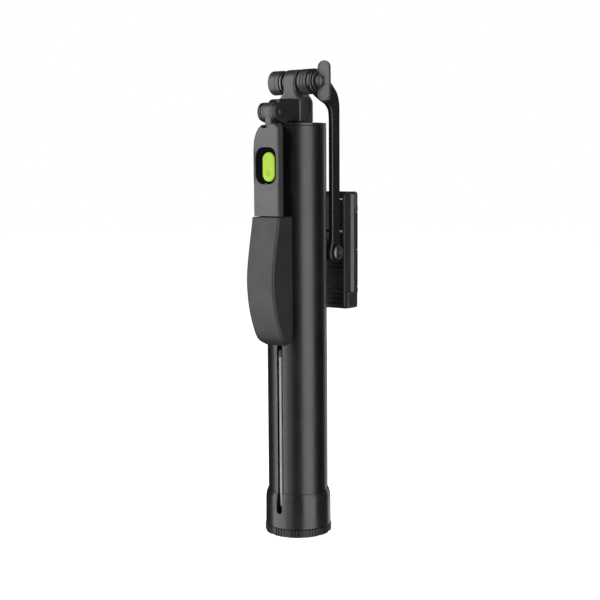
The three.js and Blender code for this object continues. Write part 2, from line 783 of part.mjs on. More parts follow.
/** A flip-out lip, its rubber pad and its pin. side is +1 for the lower lip, -1 for the upper. */
function addLip(name, z, side) {
  const span = (near, far) => (side > 0 ? [z + near, z + far] : [z - far, z - near]);
  const thick = [LIP_HINGE_Y - LIP_BARREL_R, LIP_HINGE_Y + LIP_BARREL_R];
  const reach = side > 0 ? CLAMP_MID_Z - z - 0.15 : z - CLAMP_MID_Z - 0.15;
  const barrel = prismX(circle(LIP_HINGE_Y, z, LIP_BARREL_R, TINY), [-12.9, 12.9]);
  const root = block([-12.9, 12.9], thick, span(0, 2.2));
  const leaf = block(CLAMP_X, thick, span(1.7, reach));
  const pocket = block([-12.5, 12.5], [thick[0] - 1, thick[0] + 1], span(3.4, reach - 1.5));
  const bore = barX(0.85, [-14, 14], [LIP_HINGE_Y, z], TINY);
  add(`${name}_lip`, cut(join(barrel, root, leaf), pocket, bore), mouldedBlack);
  const pad = block([-12.2, 12.2], [thick[0] + 0.05, thick[0] + 0.75], span(3.7, reach - 1.8));
  add(`${name}_lip_pad`, pad, softRubber);
  add(`${name}_lip_pin`, barX(0.55, [-12.8, 12.8], [LIP_HINGE_Y, z], TINY), brightSteel);
}

addBase();
addColumn();
for (let number = 1; number <= LEGS; number += 1) addLeg(number);
addPole();
addHeadPost();
addTiltStack();
addWingNut();
addArm();
addHandleBracket();
addHandle();
addRemote();
addClampJoint();
addClampHousing();
addClampSlider();
addLip("lower", LIP_HINGE_Z[0], 1);
addLip("upper", LIP_HINGE_Z[1], -1);

export default stick;
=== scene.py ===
"""A folding selfie stick with tripod feet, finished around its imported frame.

Shapes are worked out in millimetres, in the frame's own axes: +Z up, the pan handle towards -Y and
the wing nut towards +X. Each is a grid of points: a profile carried round an axis, an outline
carried along an axis, or a section carried up a path.
"""

import json
import math

import bmesh
import bpy
import numpy as np
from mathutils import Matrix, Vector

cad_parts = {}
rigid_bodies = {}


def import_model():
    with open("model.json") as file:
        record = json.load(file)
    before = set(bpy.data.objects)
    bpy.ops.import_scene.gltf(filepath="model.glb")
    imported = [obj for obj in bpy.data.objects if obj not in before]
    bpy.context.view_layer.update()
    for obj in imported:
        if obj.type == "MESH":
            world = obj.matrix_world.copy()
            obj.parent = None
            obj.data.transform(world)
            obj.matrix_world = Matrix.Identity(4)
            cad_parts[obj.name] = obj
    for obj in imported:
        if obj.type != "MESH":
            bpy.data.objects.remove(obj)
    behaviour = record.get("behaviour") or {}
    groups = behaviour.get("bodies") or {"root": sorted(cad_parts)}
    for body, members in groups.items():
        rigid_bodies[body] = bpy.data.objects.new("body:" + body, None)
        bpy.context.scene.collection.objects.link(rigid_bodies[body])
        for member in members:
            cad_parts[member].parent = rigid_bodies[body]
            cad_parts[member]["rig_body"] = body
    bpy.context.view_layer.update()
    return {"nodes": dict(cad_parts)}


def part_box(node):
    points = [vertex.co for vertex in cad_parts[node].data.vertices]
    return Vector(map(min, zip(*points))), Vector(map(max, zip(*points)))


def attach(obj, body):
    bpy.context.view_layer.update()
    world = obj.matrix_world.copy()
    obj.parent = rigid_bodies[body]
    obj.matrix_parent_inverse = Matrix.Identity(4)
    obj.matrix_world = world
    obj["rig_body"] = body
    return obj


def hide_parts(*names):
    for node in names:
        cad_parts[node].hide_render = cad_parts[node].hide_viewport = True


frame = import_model()

bl_info = {
    "name": "Selfie Stick",
    "version": (1, 0, 0),
    "blender": (4, 5, 0),
    "location": "View3D > Sidebar > Selfie Stick",
    "description": "Builds the surfaces, finishes and studio of a folding selfie stick",
    "category": "Object",
}

MM = 0.001
X, Y, Z = 0, 1, 2
CRISP = 38  # degrees: an edge turned more sharply than this stays crisp
BEVELLED = 40  # degrees: an edge turned more sharply than this is broken by a bevel
WELD = 2e-7  # metres: points nearer than this are one point


def span(node, axis):
    """The lowest and highest value of a CAD node along an axis, in millimetres."""
    low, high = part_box(node)
    return low[axis] / MM, high[axis] / MM


def mid(node, axis):
    """The middle of a CAD node along an axis, in millimetres."""
    return sum(span(node, axis)) / 2


# ------------------------------------------------------------------ sizes read from the frame

COLUMN_R = span("column_tube", X)[1]
COLUMN_Z = span("column_tube", Z)
CAP_TOP_Z = span("column_top_cap", Z)[1]
HUB_R = span("base_hub", X)[1]
HUB_Z = span("base_hub", Z)
RING_R = span("knurled_base_cap", X)[1]
RING_Z = span("knurled_base_cap", Z)
TILT_Z = mid("tilt_bolt", Z)
HINGE_Y = mid("handle_pin", Y)
HINGE_Z = mid("handle_pin", Z)
PIVOT_Y = mid("pivot_screw", Y)
PIVOT_Z = mid("pivot_screw", Z)
CASE_X = span("handle_front_shell", X)
CASE_Z = span("handle_front_shell", Z)
CASE_Y = span("handle_front_shell", Y)
GRIP_X = span("grip_sleeve", X)
CLAMP_X = span("clamp_housing", X)
CLAMP_Y = span("clamp_housing", Y)
CLAMP_Z = span("clamp_housing", Z)
LIP_HINGE_Y = mid("lower_lip_pin", Y)
LOWER_HINGE_Z = mid("lower_lip_pin", Z)
UPPER_HINGE_Z = mid("upper_lip_pin", Z)
FOOT_TIP_Z = span("leg_foot_1", Z)[1]
LEG_TIP_Z = FOOT_TIP_Z - 3.6
LEG_Y, LEG_HINGE_Z = -12, 17.4
BLADE_DEPTH, BLADE_FOOT_Z = 3.25, 14.15
SLOT_TOP_Z = 101
POLE_TUBES, POLE_OUTER_R, POLE_STEP, POLE_FOOT_Z, POLE_TOP_Z = 6, 8.3, 0.8, 12.8, 212.3
BRACKET_SCREW = (1.3, 222)
CASE_SCREW = (1.55, 174)
CASE_SPLIT_Y = -24.15
GRIP_FOOT_Z, GRIP_TOP_Z = 101.2, 166.3
JAW_STEP_Z = 124.8
SPRING_Y, SPRING_Z = 28.9, (120.65, 159.15)
SPRING_TAB_Z = (157, 174)
TILT, HINGE, PIVOT = (0, TILT_Z), (HINGE_Y, HINGE_Z), (PIVOT_Y, PIVOT_Z)
REMOTE_X = mid("remote_shell", X)
REMOTE_Z = mid("remote_shell", Z)
BUTTON_X = span("shutter_button", X)
BUTTON_Z = span("shutter_button", Z)

# ------------------------------------------------------------------ outlines and profiles


def arc(u, v, radius, start, end, steps):
    """Points at equal angles, from start to end in degrees, on a circle round (u, v)."""
    t = sweep(start, end, steps + 1)
    return np.stack([u + radius * np.cos(t), v + radius * np.sin(t)], 1)


def sweep(start, end, count):
    """Equal steps from one angle to another, given in degrees and returned in radians."""
    return np.radians(np.linspace(start, end, count))


def path(*parts):
    """Single points and rows of points, put end to end."""
    return np.vstack([np.atleast_2d(np.asarray(part, float)) for part in parts])


def curve(points, per_span=8):
    """A smooth line through points: on each span, the cubic whose slopes at its two ends are half
    the step between the points on either side of them (a Catmull-Rom spline)."""
    p = np.asarray(points, float)
    p = np.vstack([2 * p[0] - p[1], p, 2 * p[-1] - p[-2]])
    t = np.linspace(0, 1, per_span, endpoint=False)[None, :, None]
    a, b, c, d = (p[i : len(p) - 3 + i, None] for i in range(4))
    q = 0.5 * (2 * b + (c - a) * t + (
                   2 * a - 5 * b + 4 * c - d
               ) * t**2 + (3 * b - a - 3 * c + d) * t**3)
    return np.vstack([q.reshape(-1, p.shape[1]), p[-2]])


def rounded(points, radii, steps=5, closed=True):
    """A polygon with each corner replaced by a parabola that touches both of its sides, from and
    to the points at that corner's radius along them, but never past the middle of a side."""
    p = np.asarray(points, float)
    before, after = np.roll(p, 1, 0) - p, np.roll(p, -1, 0) - p
    long_a = np.linalg.norm(before, axis=1)
    long_b = np.linalg.norm(after, axis=1)
    reach = np.minimum(np.broadcast_to(radii, len(p)), 0.49 * np.minimum(long_a, long_b))
    start = p + before * (reach / long_a)[:, None]
    end = p + after * (reach / long_b)[:, None]
    t = np.linspace(0, 1, steps + 1)[None, :, None]
    corner = (1 - t) ** 2 * start[:, None] + 2 * t * (1 - t) * p[:, None] + t**2 * end[:, None]
    if not closed:
        corner[0], corner[-1] = p[0], p[-1]
    q = corner.reshape(-1, 2)
    keep = np.linalg.norm(q - np.roll(q, 1, 0), axis=1) > 1e-6
    return q[keep] if closed else q[np.r_[True, keep[1:]]]


def box_outline(us, vs, radii, steps=5):
    """A rectangle with rounded corners, anticlockwise from its lower left."""
    corners = [(us[0], vs[0]), (us[1], vs[0]), (us[1], vs[1]), (us[0], vs[1])]
    return rounded(corners, radii, steps)


def pill(u, v, width, height, steps=16):
    """An upright box with half-round ends."""
    radius = width / 2
    reach = height / 2 - radius
    return path(
        arc(u, v + reach, radius, 0, 180, steps), arc(u, v - reach, radius, 180, 360, steps)
    )


def resample(outline, count):
    """count points at equal steps along a closed outline, from its first point."""
    loop = np.vstack([outline, outline[:1]])
    along = np.r_[0, np.cumsum(np.linalg.norm(np.diff(loop, axis=0), axis=1))]
    at = np.linspace(0, along[-1], count, endpoint=False)
    return np.stack([np.interp(at, along, loop[:, k]) for k in range(2)], 1)


def inset(outline, by):
    """An anticlockwise outline moved inwards along the mean normal of each point's two sides. Sides
    that would turn back on themselves shrink to their middles."""
    side = np.roll(outline, -1, 0) - outline
    normal = np.stack([side[:, 1], -side[:, 0]], 1)
    normal /= np.maximum(np.linalg.norm(normal, axis=1, keepdims=True), 1e-9)
    mean = normal + np.roll(normal, 1, 0)
    length = np.maximum(np.linalg.norm(mean, axis=1, keepdims=True), 0.4)
    moved = outline - by * mean / length * (2 / length).clip(1, 1.6)
    for _ in range(12):
        back = np.flatnonzero(((np.roll(moved, -1, 0) - moved) * side).sum(1) < 0)
        if len(back) == 0:
            break
        after = (back + 1) % len(moved)
        moved[back] = moved[after] = (moved[back] + moved[after]) / 2
    return moved


def anticlockwise(outline):
    """The outline, turned round if it runs clockwise."""
    u, v = outline.T
    area = np.sum(u * np.roll(v, -1) - np.roll(u, -1) * v)
    return outline if area > 0 else outline[::-1]


# ------------------------------------------------------------------ meshes


def mesh_piece(name, points, faces, sharp=CRISP):
    """A piece from points in millimetres. Doubled points are merged, its faces turned outwards, and
    edges sharper than an angle in degrees kept crisp."""
    mesh = bpy.data.meshes.new(name)
    mesh.from_pydata((np.asarray(points) * MM).tolist(), [], faces)
    work = bmesh.new()
    work.from_mesh(mesh)
    bmesh.ops.remove_doubles(work, verts=work.verts, dist=WELD)
    bmesh.ops.recalc_face_normals(work, faces=work.faces)
    work.to_mesh(mesh)
    work.free()
    mesh.shade_smooth()
    mesh.set_sharp_from_angle(angle=math.radians(sharp))
    piece = bpy.data.objects.new(name, mesh)
    bpy.context.scene.collection.objects.link(piece)
    return piece


def sheet_faces(rows, cols, close_rows=False, close_cols=True):
    """The four-sided faces of a grid of rows by cols points, closed on itself where asked."""
    r, c = np.meshgrid(
        np.arange(rows if close_rows else rows - 1),
        np.arange(cols if close_cols else cols - 1),
        indexing="ij",
    )
    next_r, next_c = (r + 1) % rows, (c + 1) % cols
    quads = np.stack([r * cols + c, r * cols + next_c, next_r * cols + next_c, next_r * cols + c],
                     -1)
    return quads.reshape(-1, 4).tolist()


def sections(name, rings, close_rows=False, sharp=CRISP):
    """A section carried along a path: rings is a grid of (ring, point round it, xyz). The first and
    last ring are closed with a face each, unless the last ring joins the first."""
    rows, cols = rings.shape[:2]
    faces = sheet_faces(rows, cols, close_rows)
    if not close_rows:
        faces += [list(range(cols)), list(range((rows - 1) * cols, rows * cols))]
    return mesh_piece(name, rings.reshape(-1, 3), faces, sharp)


def axes_of(axis):
    """The two axes that an outline is drawn in when it is carried along an axis."""
    return {X: (Y, Z), Y: (X, Z), Z: (X, Y)}[axis]


def prism(name, outline, ends, axis, edge=0.3, steps=4, sharp=CRISP):
    """An outline carried along an axis between two ends. At each end it shrinks along its own
    normals as a quarter circle of radius edge, so its edges are rounded."""
    outline = anticlockwise(outline)
    t = np.linspace(0, np.pi / 2, steps + 1)
    shrink = edge * (1 - np.sin(t))
    rise = edge * (1 - np.cos(t))
    heights = np.r_[ends[0] + rise, (ends[1] - rise)[::-1]]
    insets = np.r_[shrink, shrink[::-1]]
    u, v = axes_of(axis)
    rings = np.zeros((len(heights), len(outline), 3))
    rings[..., axis] = heights[:, None]
    loops = np.stack([inset(outline, by) if by > 1e-9 else outline for by in insets])
    rings[..., u], rings[..., v] = loops[..., 0], loops[..., 1]
    piece = sections(name, rings, sharp=sharp)
    weigh(piece)
    return piece


def turned(name, profile, axis=Z, centre=(0, 0), segments=96, sharp=CRISP):
    """A profile of (radius, height) carried round an axis. It closes on itself unless it starts and
    ends on the axis."""
    profile = np.asarray(profile, float)
    on_axis = profile[0, 0] < 1e-6 and profile[-1, 0] < 1e-6
    t = np.linspace(0, 2 * np.pi, segments, endpoint=False)
    u, v = axes_of(axis)
    rings = np.zeros((len(profile), segments, 3))
    rings[..., u] = centre[0] + profile[:, :1] * np.cos(t)
    rings[..., v] = centre[1] + profile[:, :1] * np.sin(t)
    rings[..., axis] = profile[:, 1:]
    faces = sheet_faces(len(profile), segments, close_rows=not on_axis)
    piece = mesh_piece(name, rings.reshape(-1, 3), faces, sharp)
    weigh(piece)
    return piece


def lathe(name, points, radii, steps=4, axis=Z, centre=(0, 0), segments=96):
    """A solid turned from a line of (radius, height) from axis to axis, with rounded corners."""
    return turned(name, rounded(points, radii, steps, closed=False), axis, centre, segments)


def ring_profile(inner, outer, low, high, edge=0.2):
    """The closed profile of a flat ring or tube, with its four corners rounded."""
    return box_outline((inner, outer), (low, high), edge, 4)


def bar_profile(radius, low, high, edge=0.25):
    """The profile of a round bar, from the axis round both ends back to the axis."""
    corners = [(0, low), (radius, low), (radius, high), (0, high)]
    return rounded(corners, (0, edge, edge, 0), 4, closed=False)


def weigh(piece):
    """Flat faces keep flat shading next to rounded edges."""
    modifier = piece.modifiers.new("Flat faces", "WEIGHTED_NORMAL")
    modifier.keep_sharp = True


def applied(piece):
    """Turns a piece's modifiers into its mesh."""
    bpy.context.view_layer.update()
    result = bpy.data.meshes.new_from_object(
        piece.evaluated_get(bpy.context.evaluated_depsgraph_get())
    )
    piece.modifiers.clear()
    piece.data = result
    return piece


def combine(piece, operation, others):
    """Joins others to a piece, or cuts them out of it, and removes them."""
    piece.modifiers.clear()
    for other in others:
        other.modifiers.clear()
        modifier = piece.modifiers.new(operation, "BOOLEAN")
        modifier.operation = operation
        modifier.solver = "EXACT"
        modifier.object = other
    applied(piece)
    for other in others:
        bpy.data.objects.remove(other)
    if len(piece.data.polygons) == 0:
        raise RuntimeError(f"{piece.name} has no faces left")
    return piece


def carve(piece, *tools, soften=0.15):
    """Cuts tools out of a piece and breaks the edges that they leave."""
    combine(piece, "DIFFERENCE", tools)
    return eased(piece, soften)


def fuse(piece, *others):
    """Joins other solids to a piece."""
    return combine(piece, "UNION", others)


def eased(piece, width, segments=2):
    """Breaks a piece's crisp edges with a narrow bevel."""
    modifier = piece.modifiers.new("Eased edges", "BEVEL")
    modifier.width = width * MM
    modifier.segments = segments
    modifier.limit_method = "ANGLE"
    modifier.angle_limit = math.radians(BEVELLED)
    modifier.use_clamp_overlap = True
    piece.data.shade_smooth()
    piece.data.set_sharp_from_angle(angle=math.radians(CRISP))
    weigh(piece)
    return piece


def block(xs, ys, zs, edge=0.2, name="tool"):
    """A block between two values on each axis, with rounded corners and edges."""
    return prism(name, box_outline(xs, ys, edge, 3), zs, Z, edge, 3)


def punch(outline, ends, axis):
    """An outline carried straight along an axis, which only cuts."""
    u, v = axes_of(axis)
    rings = np.zeros((2, len(outline), 3))
    rings[..., axis] = np.reshape(ends, (2, 1))
    rings[..., u], rings[..., v] = outline[:, 0], outline[:, 1]
    return sections("punch", rings)


def cutter(xs, ys, zs):
    """A plain block that only cuts."""
    corners = np.array([[x, y, z] for z in zs for y in ys for x in xs], float)
    faces = [[0, 1, 3, 2], [4, 6, 7, 5], [0, 4, 5, 1], [2, 3, 7, 6], [0, 2, 6, 4], [1, 5, 7, 3]]
    return mesh_piece("cutter", corners, faces)


def turn_z(angle):
    """The matrix that turns a point about the Z axis, by an angle in radians."""
    c, s = math.cos(angle), math.sin(angle)
    return np.array([[c, -s, 0], [s, c, 0], [0, 0, 1]])


def spin_piece(piece, degrees):
    """Turns a piece's mesh about the Z axis."""
    mesh = piece.data
    co = np.zeros(len(mesh.vertices) * 3)
    mesh.vertices.foreach_get("co", co)
    turned_co = co.reshape(-1, 3) @ turn_z(math.radians(degrees)).T
    mesh.vertices.foreach_set("co", turned_co.ravel())
    mesh.update()
    return piece


def settle(piece, *nodes, material):
    """A finished piece takes its finish, rides on its CAD nodes' body and stands for them."""
    piece.data.materials.clear()
    piece.data.materials.append(material)
    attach(piece, frame["nodes"][nodes[0]]["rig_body"])
    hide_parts(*nodes)
    return piece


# ------------------------------------------------------------------ shader node groups

MIX_FACTOR, MIX_A, MIX_B, MIX_OUT = 0, 6, 7, 2  # a Mix node's sockets when it mixes colours


def new_group(name, inputs, outputs):
    """An empty node group with named inputs (name, kind, default) and outputs (name, kind)."""
    tree = bpy.data.node_groups.new(name, "ShaderNodeTree")
    for label, kind, value in inputs:
        socket = tree.interface.new_socket(label, in_out="INPUT", socket_type=f"NodeSocket{kind}")
        socket.default_value = value
    for label, kind in outputs:
        tree.interface.new_socket(label, in_out="OUTPUT", socket_type=f"NodeSocket{kind}")
    return tree, tree.nodes.new("NodeGroupInput"), tree.nodes.new("NodeGroupOutput")


def node(tree, kind, links=None, **values):
    """A node with its settings and unlinked inputs given by name, then its linked inputs."""
    made = tree.nodes.new(f"ShaderNode{kind}")
    for key, value in values.items():
        if hasattr(made, key):
            setattr(made, key, value)
    for key, value in values.items():
        if not hasattr(made, key):
            made.inputs[key.replace("_", " ")].default_value = value
    for key, source in (links or {}).items():
        tree.links.new(source, made.inputs[key])
    return made


def maths(tree, operation, first, second=None, third=None, clamp=False):
    """A Math node; each term is a number or a socket."""
    made = node(tree, "Math", operation=operation, use_clamp=clamp)
    for index, term in enumerate((first, second, third)):
        if isinstance(term, bpy.types.NodeSocket):
            tree.links.new(term, made.inputs[index])
        elif term is not None:
            made.inputs[index].default_value = term
    return made.outputs[0]


def remap(tree, value, low, high, to_low=0.0, to_high=1.0):
    """A value carried from one range to another, held at its ends."""
    made = node(tree, "MapRange", {"Value": value}, clamp=True)
    for label, number in (("From Min", low), ("From Max", high), ("To Min", to_low),
                          ("To Max", to_high)):
        made.inputs[label].default_value = number
    return made.outputs["Result"]


def blend_colours(tree, first, second, factor, blend="MIX"):
    """Two colours, each a socket or three numbers, mixed by a factor."""
    made = tree.nodes.new("ShaderNodeMix")
    made.data_type = "RGBA"
    made.blend_type = blend
    for index, term in ((MIX_A, first), (MIX_B, second), (MIX_FACTOR, factor)):
        if isinstance(term, bpy.types.NodeSocket):
            tree.links.new(term, made.inputs[index])
        elif index != MIX_FACTOR:
            made.inputs[index].default_value = (*term, 1)
        else:
            made.inputs[index].default_value = term
    return made.outputs[MIX_OUT]


def object_coords(tree):
    return node(tree, "TexCoord").outputs["Object"]


def grain_group():
    """Spark-eroded mould grain: fine noise pressed into rounded cells, and a slow drift in tone."""
    tree, given, out = new_group(
        "Mould grain", [("Scale", "Float", 3000.0)], [("Height", "Float"), ("Tone", "Float")]
    )
    place, scale = object_coords(tree), given.outputs["Scale"]
    fine = node(tree, "TexNoise", {"Vector": place, "Scale": scale}, Detail=3.0)
    cells = node(
        tree, "TexVoronoi", {"Vector": place, "Scale": maths(tree, "MULTIPLY", scale, 0.6)}
    )
    drift = node(tree, "TexNoise", {"Vector": place}, Scale=60.0, Detail=4.0)
    height = maths(tree, "MULTIPLY_ADD", cells.outputs["Distance"], 0.6, fine.outputs["Fac"])
    tree.links.new(height, out.inputs["Height"])
    tree.links.new(remap(tree, drift.outputs["Fac"], 0.3, 0.7, 0.86, 1.14), out.inputs["Tone"])
    return tree


def wear_group():
    """Worn edges: where a rounded-over normal leaves the true one, broken up by noise."""
    tree, given, out = new_group("Edge wear", [("Width", "Float", 0.0004)], [("Mask", "Float")])
    soft = node(tree, "Bevel", {"Radius": given.outputs["Width"]}, samples=4)
    true = node(tree, "NewGeometry")
    along = node(tree, "VectorMath", operation="DOT_PRODUCT")
    tree.links.new(soft.outputs["Normal"], along.inputs[0])
    tree.links.new(true.outputs["Normal"], along.inputs[1])
    bare = remap(tree, along.outputs["Value"], 0.995, 0.9)
    patchy = node(tree, "TexNoise", {"Vector": object_coords(tree)}, Scale=420.0, Detail=5.0)
    worn = maths(tree, "MULTIPLY", bare, remap(tree, patchy.outputs["Fac"], 0.35, 0.65))
    tree.links.new(worn, out.inputs["Mask"])
    return tree


def handling_group():
    """Marks of use: broad finger smudges and thin crossed scratches."""
    tree, given, out = new_group(
        "Handling marks", [("Scale", "Float", 1.0)], [("Smudge", "Float"), ("Scratch", "Float")]
    )
    place = node(tree, "VectorMath", {0: object_coords(tree)}, operation="SCALE")
    tree.links.new(given.outputs["Scale"], place.inputs["Scale"])
    smudge = node(tree, "TexNoise", {"Vector": place.outputs[0]}, Scale=90.0, Detail=3.0,
                  Distortion=1.2)
    tree.links.new(remap(tree, smudge.outputs["Fac"], 0.4, 0.62), out.inputs["Smudge"])
    lines = []
    for turn, stretch in ((0.5, (60.0, 60.0, 2400.0)), (-0.9, (2100.0, 2100.0, 70.0))):
        tilted = node(tree, "Mapping", {"Vector": place.outputs[0]})
        tilted.inputs["Rotation"].default_value = (turn, turn * 0.7, 0.3)
        tilted.inputs["Scale"].default_value = stretch
        thin = node(tree, "TexNoise", {"Vector": tilted.outputs[0]}, Scale=1.0, Detail=1.0)
        lines.append(remap(tree, thin.outputs["Fac"], 0.68, 0.74))
    tree.links.new(maths(tree, "MAXIMUM", lines[0], lines[1]), out.inputs["Scratch"])
    return tree


def lines_group():
    """Drawn or turned metal: noise stretched into lines, each axis by its own amount."""
    tree, given, out = new_group(
        "Drawn lines", [("Stretch", "Vector", (4000.0, 4000.0, 30.0))], [("Height", "Float")]
    )
    stretched = node(tree, "VectorMath", {0: object_coords(tree)}, operation="MULTIPLY")
    tree.links.new(given.outputs["Stretch"], stretched.inputs[1])
    noise = node(tree, "TexNoise", {"Vector": stretched.outputs[0]}, Scale=1.0, Detail=2.0)
    tree.links.new(noise.outputs["Fac"], out.inputs["Height"])
    return tree


# ------------------------------------------------------------------ finishes

GROUPS = {}
FINISHES = {}


def group_node(tree, name, **values):
    """One of the shared node groups, placed in a material with its own values."""
    made = tree.nodes.new("ShaderNodeGroup")
    made.node_tree = GROUPS[name]
    for key, value in values.items():
        made.inputs[key].default_value = value
    return made


def dressed(name, colour, rough, metal=0.0, specular=0.5, coat=0.0, grain=None, lines=None,
            wear=None, marks=0.1, relief=None):
    """A finish: a tinted base under grain or lines, worn edges and handling marks. grain is (cells
    per metre, depth in mm), lines (stretch, depth in mm), wear (edge width in mm, colour), and
    relief a function that adds its own colour and height."""
    material = bpy.data.materials.new(name)
    material.use_nodes = True
    tree = material.node_tree
    shader = tree.nodes["Principled BSDF"]
    for label, value in (("Metallic", metal), ("Specular IOR Level", specular),
                         ("Coat Weight", coat)):
        shader.inputs[label].default_value = value
    shader.inputs["Coat Roughness"].default_value = 0.2

    used = group_node(tree, "marks", Scale=1.0)
    cells = group_node(tree, "grain", Scale=grain[0] if grain else 1500.0)
    tint = blend_colours(tree, (0, 0, 0), colour, cells.outputs["Tone"])
    tint.node.clamp_factor = False
    shine = maths(tree, "MULTIPLY_ADD", used.outputs["Smudge"], marks, rough)
    shine = maths(tree, "MULTIPLY_ADD", used.outputs["Scratch"], -0.5 * marks, shine)
    height, depth = (cells.outputs["Height"], grain[1]) if grain else (None, 0)
    if lines:
        drawn = group_node(tree, "lines", Stretch=lines[0])
        height, depth = drawn.outputs["Height"], lines[1]
        shine = maths(tree, "MULTIPLY_ADD", drawn.outputs["Height"], 0.12, shine)
    if wear:
        worn = group_node(tree, "wear", Width=wear[0] * MM).outputs["Mask"]
        tint = blend_colours(tree, tint, wear[1], maths(tree, "MULTIPLY", worn, 0.55))
        shine = maths(tree, "MULTIPLY_ADD", worn, -0.08, shine)
    if relief:
        tint, height, depth = relief(tree, tint, height, depth)
    tree.links.new(tint, shader.inputs["Base Color"])
    tree.links.new(maths(tree, "MAXIMUM", shine, 0.08), shader.inputs["Roughness"])
    bump = node(tree, "Bump", {"Height": height}, Strength=0.6)
    bump.inputs["Distance"].default_value = depth * MM
    tree.links.new(bump.outputs["Normal"], shader.inputs["Normal"])
    return material


def shutter_mark(tree, tint, height, depth):
    """A ring round a dot, sunk into the button below its middle."""
    parts = node(tree, "SeparateXYZ", {"Vector": object_coords(tree)})
    across = maths(tree, "SUBTRACT", parts.outputs["X"], MARK[0] * MM)
    up = maths(tree, "SUBTRACT", parts.outputs["Z"], MARK[1] * MM)
    squares = maths(tree, "MULTIPLY_ADD", up, up, maths(tree, "MULTIPLY", across, across))
    out = maths(tree, "SQRT", squares)
    band = maths(tree, "ABSOLUTE", maths(tree, "SUBTRACT", out, MARK_RING * MM))
    ring = remap(tree, band, 0.00022, 0.00012)
    dot = remap(tree, out, 0.00048, 0.00036)
    mark = maths(tree, "MAXIMUM", ring, dot)
    dark = blend_colours(tree, tint, (0.08, 0.17, 0.01), maths(tree, "MULTIPLY", mark, 0.75))
    return dark, maths(tree, "MULTIPLY_ADD", mark, -6.0, height), depth


def circuit(tree, tint, height, depth):
    """Tinned pads and tracks under green lacquer."""
    place = object_coords(tree)
    grid = node(tree, "TexBrick", {"Vector": place}, Scale=420.0)
    pads = node(tree, "TexVoronoi", {"Vector": place}, Scale=520.0)
    tracks = remap(tree, grid.outputs["Fac"], 0.4, 0.6)
    dots = remap(tree, pads.outputs["Distance"], 0.3, 0.22)
    tint = blend_colours(tree, tint, (0.03, 0.16, 0.07), tracks)
    tint = blend_colours(tree, tint, (0.55, 0.5, 0.35), dots)
    return tint, maths(tree, "MAXIMUM", tracks, dots), 0.03


def make_finishes(colours):
    """Every finish, by name, with a few more for single pieces."""
    GROUPS.update(grain=grain_group(), wear=wear_group(), marks=handling_group(),
                  lines=lines_group())
    bare, scuffed = (0.42, 0.42, 0.43), (0.11, 0.11, 0.112)
    casing, moulding = tuple(colours.casing), tuple(colours.moulding)
    steel, column = tuple(colours.steel), tuple(colours.column)
    FINISHES.update(
        column=dressed("Black anodised tube", column, 0.25, specular=0.62, marks=0.04,
                       lines=((2600, 2600, 14), 0.006), wear=(0.3, bare)),
        casing=dressed("Satin casing", casing, 0.38, specular=0.68, marks=0.08,
                       grain=(4200, 0.008), wear=(0.35, scuffed)),
        moulding=dressed("Black moulding", moulding, 0.4, specular=0.4, marks=0.1,
                         grain=(3600, 0.012), wear=(0.3, scuffed)),
        satin=dressed("Satin moulding", (0.016, 0.016, 0.016), 0.33, specular=0.6, marks=0.1,
                      grain=(3600, 0.008), wear=(0.3, scuffed)),
        gloss=dressed("Glossy moulding", moulding, 0.24, specular=0.55, marks=0.06,
                      grain=(2400, 0.003), wear=(0.25, scuffed)),
        grip=dressed("Soft grip", tuple(colours.grip), 0.5, specular=0.55, marks=0.07,
                     grain=(5200, 0.02), wear=(0.5, (0.07, 0.07, 0.07))),
        # The well finish is painted shade: a near-black colour with almost no reflection, standing
        # in for the shade over the back of the casing and inside the remote's window.
        well=dressed("Painted shade moulding", (0.002, 0.002, 0.002), 0.6, specular=0.02, marks=0.05,
                     grain=(3600, 0.012), wear=(0.25, (0.012, 0.012, 0.012))),
        leg=dressed("Plated leg", (0.2, 0.2, 0.205), 0.34, metal=1.0, marks=0.1,
                    lines=((900, 5200, 20), 0.006), wear=(0.3, bare)),
        steel=dressed("Turned steel", steel, 0.24, metal=1.0, marks=0.12,
                      lines=((30, 5200, 5200), 0.004), wear=(0.2, (0.75, 0.75, 0.76))),
        dark_steel=dressed("Blackened steel", (0.12, 0.12, 0.125), 0.3, metal=1.0, marks=0.12,
                           lines=((40, 5200, 5200), 0.004), wear=(0.25, bare)),
        pole=dressed("Drawn tube", (0.55, 0.55, 0.56), 0.2, metal=1.0, marks=0.1,
                     lines=((3800, 3800, 12), 0.004), wear=(0.2, (0.8, 0.8, 0.8))),
        # The pale white of this finish is a painted glint: small tabs made white to stand for
        # bright highlights in the clamp's slits.
        nylon=dressed("Pale nylon", (0.85, 0.85, 0.84), 0.4, specular=0.5, grain=(2600, 0.004)),
        button=dressed("Shutter green", tuple(colours.button), 0.42, specular=0.3, marks=0.06,
                       coat=0.05, grain=(3000, 0.004), relief=shutter_mark),
        board=dressed("Circuit board", (0.015, 0.09, 0.035), 0.3, grain=(2000, 0.01),
                      relief=circuit),
    )


# ------------------------------------------------------------------ settings

MARK = (sum(BUTTON_X) / 2, sum(BUTTON_Z) / 2 - 3.0)
MARK_RING = 1.25


def millimetres(value):
    """A length in millimetres from a property in metres."""
    return value / MM


def length_property(name, description, default_mm, low=0.02, high=5.0):
    return bpy.props.FloatProperty(
        name=name, description=description, default=default_mm * MM, min=low * MM, max=high * MM,
        subtype="DISTANCE", unit="LENGTH", precision=5,
    )


def colour_property(name, description, default):
    return bpy.props.FloatVectorProperty(
        name=name, description=description, default=default, min=0, max=1, size=3, subtype="COLOR"
    )


